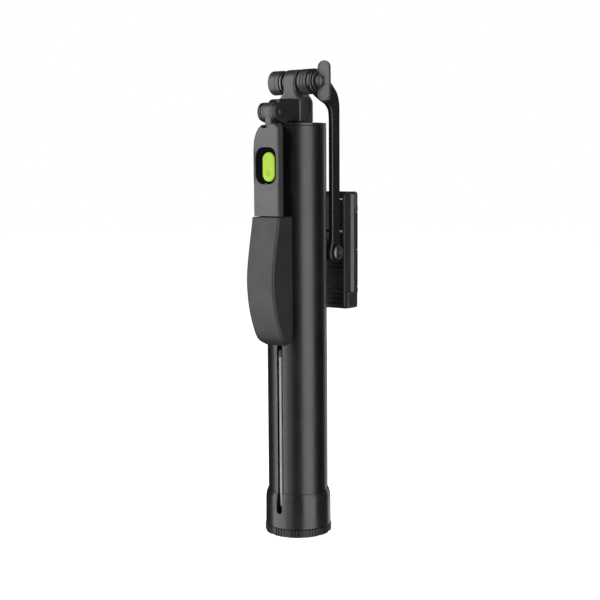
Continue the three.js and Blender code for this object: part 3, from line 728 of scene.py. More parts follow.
class StickSizes(bpy.types.PropertyGroup):
    """Small sizes that the maker may change without moving a joint."""

    moulded_edge: length_property("Moulded edge", "Radius on the edges of moulded parts", 0.35)
    arm_edge: length_property("Arm edge", "Radius on the edges of the bent arm", 0.95)
    case_edge: length_property("Casing edge", "Radius round the front of the handle casing", 0.7)
    grip_corner: length_property("Grip corner", "Radius on the long corners of the grip", 1.5)
    turned_edge: length_property("Turned edge", "Radius on the rims of turned parts", 0.25)
    slot_width: length_property("Slot width", "Width of the column's leg slots", 3.6, 2.8)
    rib_height: length_property("Rib height", "Height of the ribs round the base cap", 0.6)
    window_dish: length_property("Window dish", "Depth of the dish round the remote", 0.3)


class StickColours(bpy.types.PropertyGroup):
    """The colours of the stick's finishes."""

    casing: colour_property("Casing", "Satin casing of the handle and head", (0.03, 0.03, 0.031))
    moulding: colour_property("Moulding", "Black moulded parts", (0.009, 0.009, 0.0092))
    grip: colour_property("Grip", "Soft-touch grip", (0.0105, 0.0125, 0.0125))
    column: colour_property("Column", "Anodised column", (0.0022, 0.0022, 0.0023))
    steel: colour_property("Steel", "Bright pins, washers and screws", (0.62, 0.62, 0.63))
    button: colour_property("Button", "Shutter button", (0.34, 0.54, 0.022))


# ------------------------------------------------------------------ the pieces


def put(piece, *nodes, finish):
    """Settles a finished piece with one of the finishes."""
    return settle(piece, *nodes, material=FINISHES[finish])


def rod(name, radius, ends, axis, centre, edge=0.2, segments=32):
    """A round bar along an axis through a centre, with rounded rims."""
    return turned(name, bar_profile(radius, *ends, edge), axis, centre, segments)


def drill(radius, ends, axis, centre, segments=24):
    """A plain round bar that only cuts."""
    return rod("drill", radius, ends, axis, centre, 0.01, segments)


def slot_cutters(width, low, high, near, far, round_foot=False):
    """Three cutters for the leg slots, a third of a turn apart, each reaching from one distance
    from the axis to another."""
    half = width / 2
    if round_foot:
        outline = path(arc(0, low + half, half, 180, 360, 16), (half, high), (-half, high))
    else:
        outline = box_outline((-half, half), (low, high), 0.5, 4)
    made = []
    for turn in (0, 120, 240):
        made.append(spin_piece(punch(outline, (-far, -near), Y), turn))
    return made


def make_base(sizes):
    """The foot pad, the ribbed cap, its screw and the hub with its three notches."""
    edge = millimetres(sizes.turned_edge)
    tread = [(0, 0.35), (8.6, 0.35), (8.8, 0), (10.4, 0), (10.6, 0.3), (11.4, 0.3), (11.6, 0),
             (13.1, 0), (13.3, 0.3), (13.9, 0.3), (14.1, 0), (14.9, 0), (14.9, 1.2), (0, 1.2)]
    pad = lathe("foot_pad_treaded", tread, 0.1, 3, segments=96)
    put(pad, "foot_pad", finish="grip")
    put(ribbed_cap(millimetres(sizes.rib_height)), "knurled_base_cap", finish="moulding")
    screw = lathe("base_screw_turned",
                  [(0, 1.7), (3.5, 1.7), (3.5, 3.1), (1.5, 3.1), (1.5, 9.5), (0, 9.5)], edge, 4)
    cross = [cutter((-2.2, 2.2), (-0.4, 0.4), (1, 2.7)), cutter((-0.4, 0.4), (-2.2, 2.2), (1, 2.7))]
    put(carve(screw, *cross, soften=0.1), "base_screw", finish="dark_steel")

    wall = [(0, HUB_Z[0]), (HUB_R, HUB_Z[0]), (16.95, 19), (16.6, 21), (15.95, HUB_Z[1]),
            (15.78, HUB_Z[1]), (15.78, 12.5), (13.6, 12.5), (13.6, 21.5), (8.6, 21.5), (8.6, 12.5),
            (0, 12.5)]
    radii = (0, 0.3, 1.6, 1.2, 0.06, 0.06, 0.2, 0.2, 0.3, 0.3, 0.2, 0)
    hub = lathe("base_hub_notched", wall, radii, 5, segments=120)
    notches = slot_cutters(millimetres(sizes.slot_width), 12.2, 24, 8.45, 19, round_foot=True)
    put(carve(hub, *notches, soften=0.22), "base_hub", finish="gloss")


def ribbed_cap(height):
    """The base cap: a profile carried round the axis, whose outer wall rises into ribs. A rib's
    height over the angle from its middle is one, falling to nought between two angles, and ribs
    stand in groups of four."""
    groups, ribs, pitch, columns = 12, 4, 5.4, 1440
    angle = np.linspace(0, 360, columns, endpoint=False)
    within = (angle + 180 / groups) % (360 / groups) - 180 / groups
    middles = (np.arange(ribs) - (ribs - 1) / 2) * pitch
    off = np.abs(within[:, None] - middles).min(1)
    rise = height * np.clip((1.7 - off) / 0.8, 0, 1)
    wall = RING_R - height
    profile = rounded([(0, 3.4), (3.9, 3.4), (3.9, 1.5), (15.2, 1.5), (15.2, RING_Z[0]),
                       (wall, RING_Z[0]), (wall, RING_Z[1]), (0, RING_Z[1])],
                      (0, 0.2, 0.3, 0.2, 0.3, 0.35, 0.35, 0), 4, closed=False)
    outer = np.clip((profile[:, 0] - (wall - 0.4)) / 0.4, 0, 1)
    radius = profile[:, :1] + outer[:, None] * rise
    t = np.radians(angle)
    rings = np.stack([radius * np.cos(t), radius * np.sin(t),
                      np.broadcast_to(profile[:, 1:], radius.shape)],
                     -1)
    faces = sheet_faces(len(profile), columns)
    piece = mesh_piece("base_cap_ribbed", rings.reshape(-1, 3), faces, 45)
    weigh(piece)
    return piece


def make_column(sizes):
    """The slotted tube and the cap in its mouth."""
    width = millimetres(sizes.slot_width)
    tube = turned("column_tube_slotted", ring_profile(13.9, COLUMN_R, *COLUMN_Z, 0.3), segments=160)
    slots = slot_cutters(width, 8, SLOT_TOP_Z, 12.5, 17)
    put(carve(tube, *slots, soften=0.22), "column_tube", finish="column")
    cap = [(8.6, 204), (13.6, 204), (13.6, 211.55), (COLUMN_R, 211.55), (COLUMN_R, CAP_TOP_Z),
           (8.6, CAP_TOP_Z)]
    cap = turned("column_cap_turned", rounded(cap, (0.3, 0.4, 0.15, 0.1, 0.55, 0.4), 5),
                 segments=128)
    put(cap, "column_top_cap", finish="gloss")


def bar_sections(zs, half_x, ys, corner):
    """Rounded-box sections up a bar: at each height a half width in X and a range in Y."""
    rings = []
    for z, half, (y0, y1), radius in zip(zs, half_x, ys, np.broadcast_to(corner, len(zs))):
        loop = box_outline((-half, half), (y0, y1), max(radius, 0.01), 6)
        rings.append(np.column_stack([loop, np.full(len(loop), z)]))
    return np.stack(rings)


def make_legs(sizes):
    """Three blades with rounded backs and lightening pockets, their rubber feet and their pins."""
    half = (millimetres(sizes.slot_width) - 1.0) / 2
    lift = BLADE_DEPTH * (1 - np.cos(sweep(10, 90, 9)))
    reach = BLADE_DEPTH * np.sin(sweep(10, 90, 9))
    zs = np.r_[BLADE_FOOT_Z + lift, 52, 92, LEG_TIP_Z - 0.4, LEG_TIP_Z]
    spans = [(LEG_Y - r, LEG_Y + r) for r in np.r_[reach, [BLADE_DEPTH] * 3, 3.05]]
    rounds = np.r_[np.minimum(reach, half) * 0.98, [half * 0.98] * 3, half * 0.9]
    for number in range(1, 4):
        turn = (number - 1) * 120
        blade = sections("blade", bar_sections(zs, [half] * len(zs), spans, rounds))
        pocket = pill(LEG_Y, 55, 3.6, 58, 12)
        sides = [punch(pocket, (a, b), X) for a, b in ((-2, -0.7), (0.7, 2))]
        blade = carve(blade, *sides, soften=0.12)
        blade.name = f"leg_{number}_blade"
        put(spin_piece(blade, turn), f"leg_{number}", finish="leg")

        heights = np.linspace(LEG_TIP_Z + 0.2, FOOT_TIP_Z, 34)
        tip = np.clip((heights - FOOT_TIP_Z + 1.4) / 1.4, 0, 0.97)
        middle = (LEG_TIP_Z + FOOT_TIP_Z) / 2
        ribs = 0.14 * (
            0.5 + 0.5 * np.cos((heights - middle) * 2 * np.pi / 0.9)
        ) * (np.abs(heights - middle) < 1.1)
        width = 1.5 * np.sqrt(1 - tip**2 * 0.75) - ribs
        depth = BLADE_DEPTH * np.sqrt(1 - tip**2 * 0.3) - ribs
        rings = bar_sections(heights, width, [(LEG_Y - d, LEG_Y + d) for d in depth], width * 0.95)
        foot = sections(f"leg_{number}_foot_ribbed", rings, sharp=60)
        put(spin_piece(foot, turn), f"leg_foot_{number}", finish="grip")

        pin = rod(f"leg_{number}_pin", 1.15, (-4, 4), X, (LEG_Y, LEG_HINGE_Z), 0.25, 24)
        put(spin_piece(pin, turn), f"leg_pin_{number}", finish="steel")


def make_pole(sizes):
    """Six nested tubes, each with a rolled mouth and a stop collar, and the stud on the last."""
    edge = 0.12
    for index in range(POLE_TUBES):
        outer = POLE_OUTER_R - POLE_STEP * index
        foot = POLE_FOOT_Z + POLE_STEP * index
        inner, top = outer - 0.5, POLE_TOP_Z
        wall = [(inner, foot), (outer - 0.12, foot), (outer, foot + 3), (outer, top - 3.2),
                (outer - 0.1, top - 2.9), (outer - 0.1, top - 2.4), (outer, top - 2.1),
                (outer, top), (inner, top)]
        name = "pole_outer_tube" if index == 0 else f"pole_section_{index}"
        tube = turned(f"{name}_drawn", rounded(wall, edge, 3), segments=72, sharp=50)
        put(tube, name, finish="pole")
    stud = [(0, 198.3), (3.5, 198.3), (3.5, 212.4), (4.2, 212.4), (4.2, 212.9), (2.6, 212.9),
            (2.6, 213.6), (2.25, 213.9), (2.25, 214.5), (2.6, 214.8), (2.6, 219), (0, 219)]
    stud = lathe("pan_stud_turned", stud, 0.15, 3, segments=48)
    put(stud, "pan_stud", finish="dark_steel")


def make_head(sizes):
    """The head post, which narrows into its ear, and the bracket that holds the handle."""
    flare = curve([(6.9, 223.4), (6.35, 224.8), (4.75, 227), (3.95, 228.4), (3.8, 230)], 5)
    dome = sweep(0, 84, 15)
    low = np.array([(6.5, 213.4), (6.8, 213.55), (6.9, 213.8)])
    ear = np.column_stack([np.full(15, 3.8), TILT_Z + 6.3 * np.sin(dome)])
    outline = np.vstack([low, flare, ear])
    depth = np.full(len(outline), 6.2)
    depth[:2] = 5.8, 6.1
    depth[-15:] = 6.25 * np.cos(dome)
    corners = np.minimum(
        np.r_[[1.5] * (len(outline) - 15), np.linspace(1.5, 0.55, 15)], depth * 0.9
    )
    rings = bar_sections(outline[:, 1], outline[:, 0], [(-d, d) for d in depth], corners)
    post = sections("head_post_flared", rings, sharp=50)
    recess = path((3.5, 226), (-3.5, 226), arc(0, 219.2, 3.5, 180, 360, 20))
    tools = [punch(recess, (5.7, 9), X)]
    tools += [drill(2.3, (-9, 9), X, TILT, 32), drill(2.9, (212, 219.6), Z, (0, 0), 32)]
    tools += [drill(1.5, (-9, -2.2), Y, BRACKET_SCREW), drill(0.55, (5, 9), X, (0, 214.6), 16)]
    put(carve(post, *tools, soften=0.18), "head_post", finish="casing")

    edge = millimetres(sizes.moulded_edge)
    side = path((-16.6, 212.4), (-16.6, 213.5), (-6.5, 213.5), (-6.5, 224.6), (-14.6, 224.6),
                (-16.4, 224), (-18.2, 222.3), arc(*HINGE, 4.7, 92, 252, 22), (-19.5, 212.4))
    bracket = prism("handle_bracket_clevis", side, (-4.3, 6.9), X, edge)
    tools = [drill(5.05, (-2.4, 4.9), X, HINGE, 72), cutter((-2.4, 4.9), (-28, -21.9), (211, 226)),
             cutter((-1.2, 3.9), (-22, -19.6), (211, 216))]
    tools += [drill(1.35, (-6, 8), X, HINGE)]
    tools += [drill(1.5, (-18, -5), Y, BRACKET_SCREW),
              drill(2.3, (-18, -15.4), Y, BRACKET_SCREW, 32)]
    tools += [drill(3.5, (6.75, 8), X, HINGE, 40)]
    put(carve(bracket, *tools, soften=0.16), "handle_bracket", finish="moulding")
    rivet = rod("handle_pin_rivet", 1.25, (-4.3, 6.95), X, HINGE, 0.3, 32)
    put(rivet, "handle_pin", finish="dark_steel")
    screw = lathe("bracket_screw_turned",
                  [(0, -16.9), (2, -16.9), (2, -15.7), (1.2, -15.7), (1.2, -2.6), (0, -2.6)], 0.2,
                  3, Y, BRACKET_SCREW, 40)
    cross = [cutter((0.1, 2.5), (-17.2, -16.3), (221.75, 222.25)),
             cutter((1.05, 1.55), (-17.2, -16.3), (220.8, 223.2))]
    put(carve(screw, *cross, soften=0.06), "bracket_screw", finish="dark_steel")


def make_tilt_stack(sizes):
    """The knob, washers, disc, grooved barrel and bolt on the tilt axis, and the wing nut."""
    edge = millimetres(sizes.turned_edge)
    knob = [(0, -13.4), (6.15, -13.4), (6.15, -9.4), (6.02, -9.2), (6.02, -9), (6.15, -8.8),
            (6.15, -6.8), (2.3, -6.8), (2.3, -11.3), (0, -11.3)]
    radii = (0, 0.5, 0.1, 0.05, 0.05, 0.1, edge, edge, 0.2, 0)
    put(lathe("tilt_knob_turned", knob, radii, 6, X, TILT), "tilt_knob", finish="casing")
    rings = (("knob_washer", 5.9, -6.3, -5.3, "dark_steel"),
             ("spring_washer", 4.9, -5.0, -4.1, "dark_steel"),
             ("friction_disc", 5.2, 4.1, 5.1, "grip"),
             ("flange_washer", 5.2, 13.6, 14.2, "dark_steel"))
    for name, radius, low, high, finish in rings:
        washer = turned(f"{name}_turned", ring_profile(2.3, radius, low, high, 0.22), X, TILT)
        put(washer, name, finish=finish)
    barrel = [(2.3, 5.4), (6.4, 5.4)]
    for x in (7.1, 8.8):
        barrel += [(6.4, x - 0.35), (5.85, x - 0.05), (5.85, x + 0.05), (6.4, x + 0.35)]
    barrel += [(6.4, 10.3), (2.3, 10.3)]
    put(turned("tilt_barrel_grooved", rounded(barrel, 0.3, 5), X, TILT), "tilt_barrel",
        finish="casing")
    bolt = [(0, -11), (2, -11), (2, 16.2), (0, 16.2)]
    put(lathe("tilt_bolt_turned", bolt, (0, 0.4, 0.4, 0), 4, X, TILT, 40), "tilt_bolt",
        finish="dark_steel")
    put(wing_nut(), "wing_nut", finish="casing")


def wing_nut():
    """A domed hub on a thin two-lobed plate. Each lobe is dished on both faces."""
    lobe = arc(17.6, 6.5, 3.55, 8, 172, 26)
    plate = path((21.15, -4.2), (21.2, 0), (21.15, 4.2), lobe, (14.1, 4.2), (14.9, 2.2),
                 (14.9, -2.2), (14.1, -4.2), (lobe * (1, -1))[::-1])
    plate = rounded(np.column_stack([plate[:, 0], TILT_Z + plate[:, 1]]), 0.9, 4)
    nut = prism("wing_nut_lobed", plate, (-0.9, 0.9), Y, 0.3, 4)
    dome = [(0, 16.4), (2.3, 16.4), (2.3, 14.5), (3.65, 14.5), (3.65, 15.8), (3.2, 17.1),
            (1.9, 17.8), (0, 17.8)]
    hub = lathe("hub", dome, (0, 0.05, 0.1, 0.25, 0.5, 0.8, 0.8, 0), 6, X, TILT, 64)
    nut = fuse(nut, hub)
    leaf = path((17.4, 1.0), (20.3, 1.3), arc(17.6, 6.5, 2.85, -12, 170, 22), (14.95, 3.6))
    dishes = []
    for side in (1, -1):
        outline = anticlockwise(rounded(np.column_stack([leaf[:, 0], TILT_Z + side * leaf[:, 1]]),
                                        0.7, 4))
        dishes += [punch(outline, ends, Y) for ends in ((-2, -0.62), (0.62, 2))]
    bore = drill(2.25, (13, 16.3), X, TILT, 40)
    return carve(nut, *dishes, bore, soften=0.14)


def make_arm(sizes):
    """The flat arm, bent like a J: an outline carried along X with well rounded edges."""
    z = TILT_Z
    outer = curve([(3.6, z + 5.3), (8, z + 3.3), (12.4, z + 0.5), (15.6, z - 2), (18.4, z - 4.7),
                   (20.0, z - 7.8), (20.75, z - 11.5), (20.8, z - 17)],
                  5)
    inner = curve([(13.4, z - 18.5), (13.0, z - 15), (11.7, z - 12.7), (8.9, z - 10.8),
                   (5.4, z - 9.5), (2.0, z - 8.0), (-1.2, z - 6.25)],
                  5)
    outline = path(arc(0, z, 6.4, 60, 257, 40)[:-1], inner[::-1], (13.4, PIVOT_Z + 6),
                   arc(*PIVOT, 5.4, 150, 390, 40), (20.8, PIVOT_Z + 6), outer[::-1])
    arm = prism("arm_bent", outline, (10.6, 13.3), X, millimetres(sizes.arm_edge), 6, 50)
    holes = [drill(2.3, (9, 15), X, (0, z), 40), drill(2.0, (9, 15), X, PIVOT, 40)]
    put(carve(arm, *holes, soften=0.12), "arm", finish="gloss")


def window_outline(shrink=0.0):
    """The remote's window, or a smaller outline inside it."""
    return box_outline((REMOTE_X - 6.4 + shrink, REMOTE_X + 6.4 - shrink),
                       (REMOTE_Z - 9 + shrink, REMOTE_Z + 9 - shrink), 5.6 - shrink, 12)


def case_outline(shrink=0.0, foot=0.0, steps=22):
    """The casing's outline, or a smaller one: a box whose upper left corner is a tall quarter
    ellipse and whose upper right one is a small quarter circle."""
    x0, x1 = CASE_X[0] + shrink, CASE_X[1] - shrink
    z0, z1 = CASE_Z[0] + foot, CASE_Z[1] - shrink
    right, wide, tall = 3.2 - min(shrink, 2.4), 7.2 - shrink, 11.6 - shrink
    shoulder = arc(0, 0, 1, 90, 180, steps) * (wide, tall) + (x0 + wide, z1 - tall)
    return path((x0, z0), (x1, z0), arc(x1 - right, z1 - right, right, 0, 90, steps), shoulder)


def on_rays(outline, centre, angles):
    """Where rays from a centre, at angles in degrees, meet an outline seen whole from it."""
    dense = resample(outline, 4000) - centre
    at = np.degrees(np.arctan2(dense[:, 1], dense[:, 0])) % 360
    order = np.argsort(at)
    far = np.interp(angles, at[order], np.hypot(*dense.T)[order], period=360)
    t = np.radians(angles)
    return np.stack([centre[0] + far * np.cos(t), centre[1] + far * np.sin(t)], 1)


def case_front(sizes):
    """The casing's front: rings of points that run from the window's inner edge over the face,
    round the outside edge, down the wall and back along the inside. The face dips towards the
    window by a half cosine."""
    edge, dish = millimetres(sizes.case_edge), millimetres(sizes.window_dish)
    front, split = CASE_Y[0], CASE_SPLIT_Y
    outside, inside = case_outline(), case_outline(1.6, 1.4)
    centre = np.array([REMOTE_X, REMOTE_Z])
    corners = np.array([(x, CASE_Z[0]) for x in CASE_X]) - centre
    angles = np.unique(np.r_[np.linspace(0, 360, 240, endpoint=False),
                             np.degrees(np.arctan2(corners[:, 1], corners[:, 0])) % 360])
    hole = on_rays(window_outline(0), centre, angles)
    outer = on_rays(outside, centre, angles)
    inner = on_rays(inside, centre, angles)
    pull = outer - centre
    pull /= np.abs(pull).max(1, keepdims=True)
    rows = [(hole, np.full(len(angles), front + 1.5)),
            (hole, np.full(len(angles), front + dish + 0.3))]
    away = hole - centre
    away /= np.linalg.norm(away, axis=1, keepdims=True)
    room = np.linalg.norm(outer - hole, axis=1)
    for share in np.linspace(0, 1, 9):
        step = np.minimum(0.25 + 2.4 * share, room * 0.8 * (share + 0.05))
        rows.append((hole + away * step[:, None],
                     np.full(len(angles), front + dish * 0.5 * (1 + math.cos(math.pi * share)))))
    for t in sweep(0, 90, 7):
        shrink = edge * (1 - math.sin(t))
        shrunk = case_outline(shrink, 0.3 * shrink)
        rows.append((on_rays(shrunk, centre, angles),
                     np.full(len(angles), front + edge * (1 - math.cos(t)))))
    rows += [(outer, np.full(len(angles), split - 0.12)),
             (outer - pull * 0.12, np.full(len(angles), split))]
    rows += [(inner, np.full(len(angles), split)), (inner, np.full(len(angles), front + 1.5))]
    rings = np.stack([np.column_stack([p[:, 0], y, p[:, 1]]) for p, y in rows])
    piece = sections("case_front_dished", rings, close_rows=True, sharp=35)
    return carve(piece, cutter((-0.8, 3.65), (-29, -23.5), (209.9, 214)), soften=0.12)


def grip(sizes):
    """The grip: rounded-box sections up its height. The front follows a smooth bellied line, the
    back a shorter one, and the width draws in by a quarter circle near the foot."""
    corner = millimetres(sizes.grip_corner)
    top = GRIP_TOP_Z
    front = curve([(-21, GRIP_FOOT_Z), (-23.4, 102.6), (-26, 105.3), (-28.9, 110.8), (-32, 120),
                   (-33.55, 130), (-33.5, 139), (-31.6, 151), (-29.3, 162), (-28.75, top)],
                  14)
    back = curve([(-21, GRIP_FOOT_Z), (-19.2, 101.9), (-17.8, 103.8), (-16.9, 107.5), (-16.8, 120),
                  (-16.8, top)],
                 14)
    zs = np.r_[GRIP_FOOT_Z + 6 * (1 - np.cos(sweep(6, 90, 22))),
               np.linspace(107.9, top - 0.9, 60),
               top - 0.9 + 0.9 * np.sin(sweep(12, 90, 8))]
    y0 = np.interp(zs, front[:, 1], front[:, 0])
    y1 = np.interp(zs, back[:, 1], back[:, 0])
    lip = np.clip((zs - (top - 0.9)) / 0.9, 0, 1)
    draw = 0.7 * (1 - np.sqrt(np.clip(1 - lip**2, 0, 1)))
    foot = np.clip((105.7 - zs) / 4.6, 0, 0.995)
    half = (GRIP_X[1] - GRIP_X[0]) / 2 - 4.2 * (1 - np.sqrt(1 - foot**2)) - draw
    middle = sum(GRIP_X) / 2
    spans = np.column_stack([y0 + draw, y1 - draw])
    rounds = np.minimum(corner, 0.45 * np.diff(spans, axis=1)[:, 0]).clip(0.02)
    rings = bar_sections(zs, half, spans, rounds)
    rings[..., 0] += middle
    piece = sections("grip_bellied", rings, sharp=50)
    hollow = cutter((-3.9, 7), (-25, -18.3), (106.5, 170))
    return carve(piece, hollow, soften=0.15)


def make_handle(sizes):
    """The spine with its hinge knuckle, the two halves of the casing, their screw and the grip."""
    knuckle = [(0, -2.1), (4.7, -2.1), (4.7, -1.2), (4.5, -1.05), (4.5, -0.85), (4.7, -0.7),
               (4.7, 3.2), (4.5, 3.35), (4.5, 3.55), (4.7, 3.7), (4.7, 4.6), (0, 4.6)]
    spine = lathe("handle_spine_knuckled", knuckle, 0.15, 3, X, HINGE, 72)
    neck = block((-0.5, 3.35), (-25.7, -20.4), (204, HINGE_Z), 0.8)
    plates = [block((-3.4, 6.5), (-20.9, -18.7), (160, 205.5)),
              block((-3.5, 6.6), (-24.6, -18.7), (107, 165))]
    spine = fuse(spine, neck, *plates)
    spine = carve(spine, drill(1.4, (-4, 6), X, HINGE), soften=0.1)
    put(spine, "handle_spine", finish="casing")

    put(case_front(sizes), "handle_front_shell", finish="casing")
    hollow = case_outline(2.3, -1)
    lip = carve(prism("case_lip", case_outline(0.5), (-24, -22.9), Y, 0.3),
                punch(hollow, (-25, -22), Y), cutter((-0.9, 3.75), (-26, -19.6), (205, 214)),
                soften=0.1)
    put(lip, "handle_back_shell", finish="casing")
    side = path((-22.85, CASE_Z[0]), (-16.3, CASE_Z[0]),
                curve([
                          (-16.3, 200), (-16.6, 204.5), (-17.8, 207.8), (-19.9, 209.8),
                          (-22.85, 210.9)
                      ],
                      6))
    back = prism("case_back_stepped", side, (CASE_X[0], CASE_X[1]), X, 0.3)
    back = combine(back, "INTERSECT", [punch(case_outline(0.95), (-26, -15), Y)])
    tools = [punch(hollow, (-25, -18.3), Y), punch(window_outline(0), (-25, -21.3), Y)]
    tools += [cutter((-0.9, 3.75), (-26, -19.6), (205, 214)), drill(1, (-20, -15), Y, CASE_SCREW)]
    tools += [cutter((-8, 11), (-20.8, -15), (177.5, 197.5))]
    # Behind the lip, the back takes the well finish: painted shade, near black where the casing's
    # back lies in shade.
    put(carve(back, *tools, soften=0.15), "handle_back_shell", finish="well")
    screw = turned("handle_screw_turned", bar_profile(0.75, -22, -17.2, 0.2), Y, CASE_SCREW, 24)
    put(screw, "handle_screw", finish="steel")
    put(grip(sizes), "grip_sleeve", finish="grip")


def make_remote(sizes):
    """The slide-in remote: its shell, board, cell and shutter button."""
    shell = prism("remote_shell_lipped", window_outline(0.35), (-27.2, -21.6), Y, 0.3)
    width, height = BUTTON_X[1] - BUTTON_X[0], BUTTON_Z[1] - BUTTON_Z[0]
    middle = (sum(BUTTON_X) / 2, sum(BUTTON_Z) / 2)
    opening = pill(*middle, width + 0.6, height + 0.6)
    tools = [punch(window_outline(1.25), (-26.3, -21), Y), punch(opening, (-28, -25.1), Y)]
    # The shell takes the well finish: painted shade, near black for the shade inside the remote's
    # window.
    put(carve(shell, *tools, soften=0.12), "remote_shell", finish="well")
    board = prism("remote_board_etched", window_outline(1.6), (-24.9, -24.1), Y, 0.08, 2)
    put(board, "remote_board", finish="board")
    cell = [(0, -23.8), (4.4, -23.8), (4.4, -22.6), (3.6, -22.5), (3.5, -21.9), (0, -21.9)]
    cell = lathe("remote_cell_pressed", cell, 0.2, 4, Y, (REMOTE_X, REMOTE_Z), 64)
    put(cell, "remote_cell", finish="steel")
    put(shutter_button(middle, width, height), "shutter_button", finish="button")


def shutter_button(middle, width, height):
    """A pill that crowns: its outline shrinks over a quarter ellipse from the wall to the top, then
    over a shallow one to the middle."""
    edge, rows = 0.9, []
    base, shoulder, crown = -25.8, -27.3, -28.0
    for y in (base, base - 0.1, shoulder):
        rows.append((0.1 if y == base else 0, y))
    for t in sweep(12, 90, 8):
        rows.append((edge * (1 - math.cos(t)), shoulder + (crown + 0.12 - shoulder) * math.sin(t)))
    for share in np.linspace(0.2, 1, 7):
        shrink = edge + (width / 2 - edge - 0.02) * share
        rows.append((shrink, crown + 0.12 * (1 - share) ** 2))
    rings = []
    for shrink, y in rows:
        loop = pill(*middle, width - 2 * shrink, height - 2 * shrink, 24)
        rings.append(np.column_stack([loop[:, 0], np.full(len(loop), y), loop[:, 1]]))
    piece = sections("shutter_button_crowned", np.stack(rings), sharp=50)
    weigh(piece)
    return piece


def make_clamp_joint(sizes):
    """The pivot screw, the knuckle it holds and the stud that the clamp swivels on."""
    head = [(0, 7), (1.7, 7), (1.7, 13.6), (4, 13.6), (3.85, 14.6), (2.6, 15.3), (0, 15.3)]
    screw = lathe("pivot_screw_domed", head, (0, 0.3, 0.1, 0.2, 0.6, 0.6, 0), 6, X, PIVOT, 72)
    hexagon = arc(*PIVOT, 1.5, 0, 300, 5)
    socket = punch(hexagon, (14.3, 16), X)
    put(carve(screw, socket, soften=0.1), "pivot_screw", finish="dark_steel")
    edge = millimetres(sizes.moulded_edge)
    tab = prism("tab", box_outline((14.9, 19.2), (PIVOT_Z - 4, PIVOT_Z + 4), 1.6), (7.5, 10.3), X,
                edge)
    plate = block((-4.5, 10.3), (17.1, 22.4), (PIVOT_Z - 4, PIVOT_Z + 4), edge,
                  "clamp_knuckle_forked")
    plate = fuse(plate, tab)
    bores = [drill(2, (6.7, 11), X, PIVOT), drill(1.8, (15, 23), Y, (0, PIVOT_Z)),
             drill(3, (15, 18.6), Y, (0, PIVOT_Z), 32)]
    put(carve(plate, *bores, soften=0.15), "clamp_knuckle", finish="moulding")
    stud = [(0, 17.3), (2.7, 17.3), (2.7, 18.3), (1.5, 18.3), (1.5, 26.6), (0, 26.6)]
    stud = lathe("swivel_stud_turned", stud, 0.2, 3, Y, (0, PIVOT_Z), 40)
    put(stud, "swivel_stud", finish="steel")


def hinge_ears(z, side):
    """Two ears round a lip's pin, below the pin where side is -1 and above it where it is 1."""
    root = (z - 2.4, z) if side < 0 else (z, z + 2.4)
    made = []
    for xs in ((CLAMP_X[0], -13.2), (13.2, CLAMP_X[1])):
        eye = arc(LIP_HINGE_Y, z, 1.3, 0, 360, 24)[:-1]
        made.append(prism("ear", eye, xs, X, 0.12, 2))
        made.append(cutter(xs, (LIP_HINGE_Y - 1.3, LIP_HINGE_Y + 1.3), root))
    return made


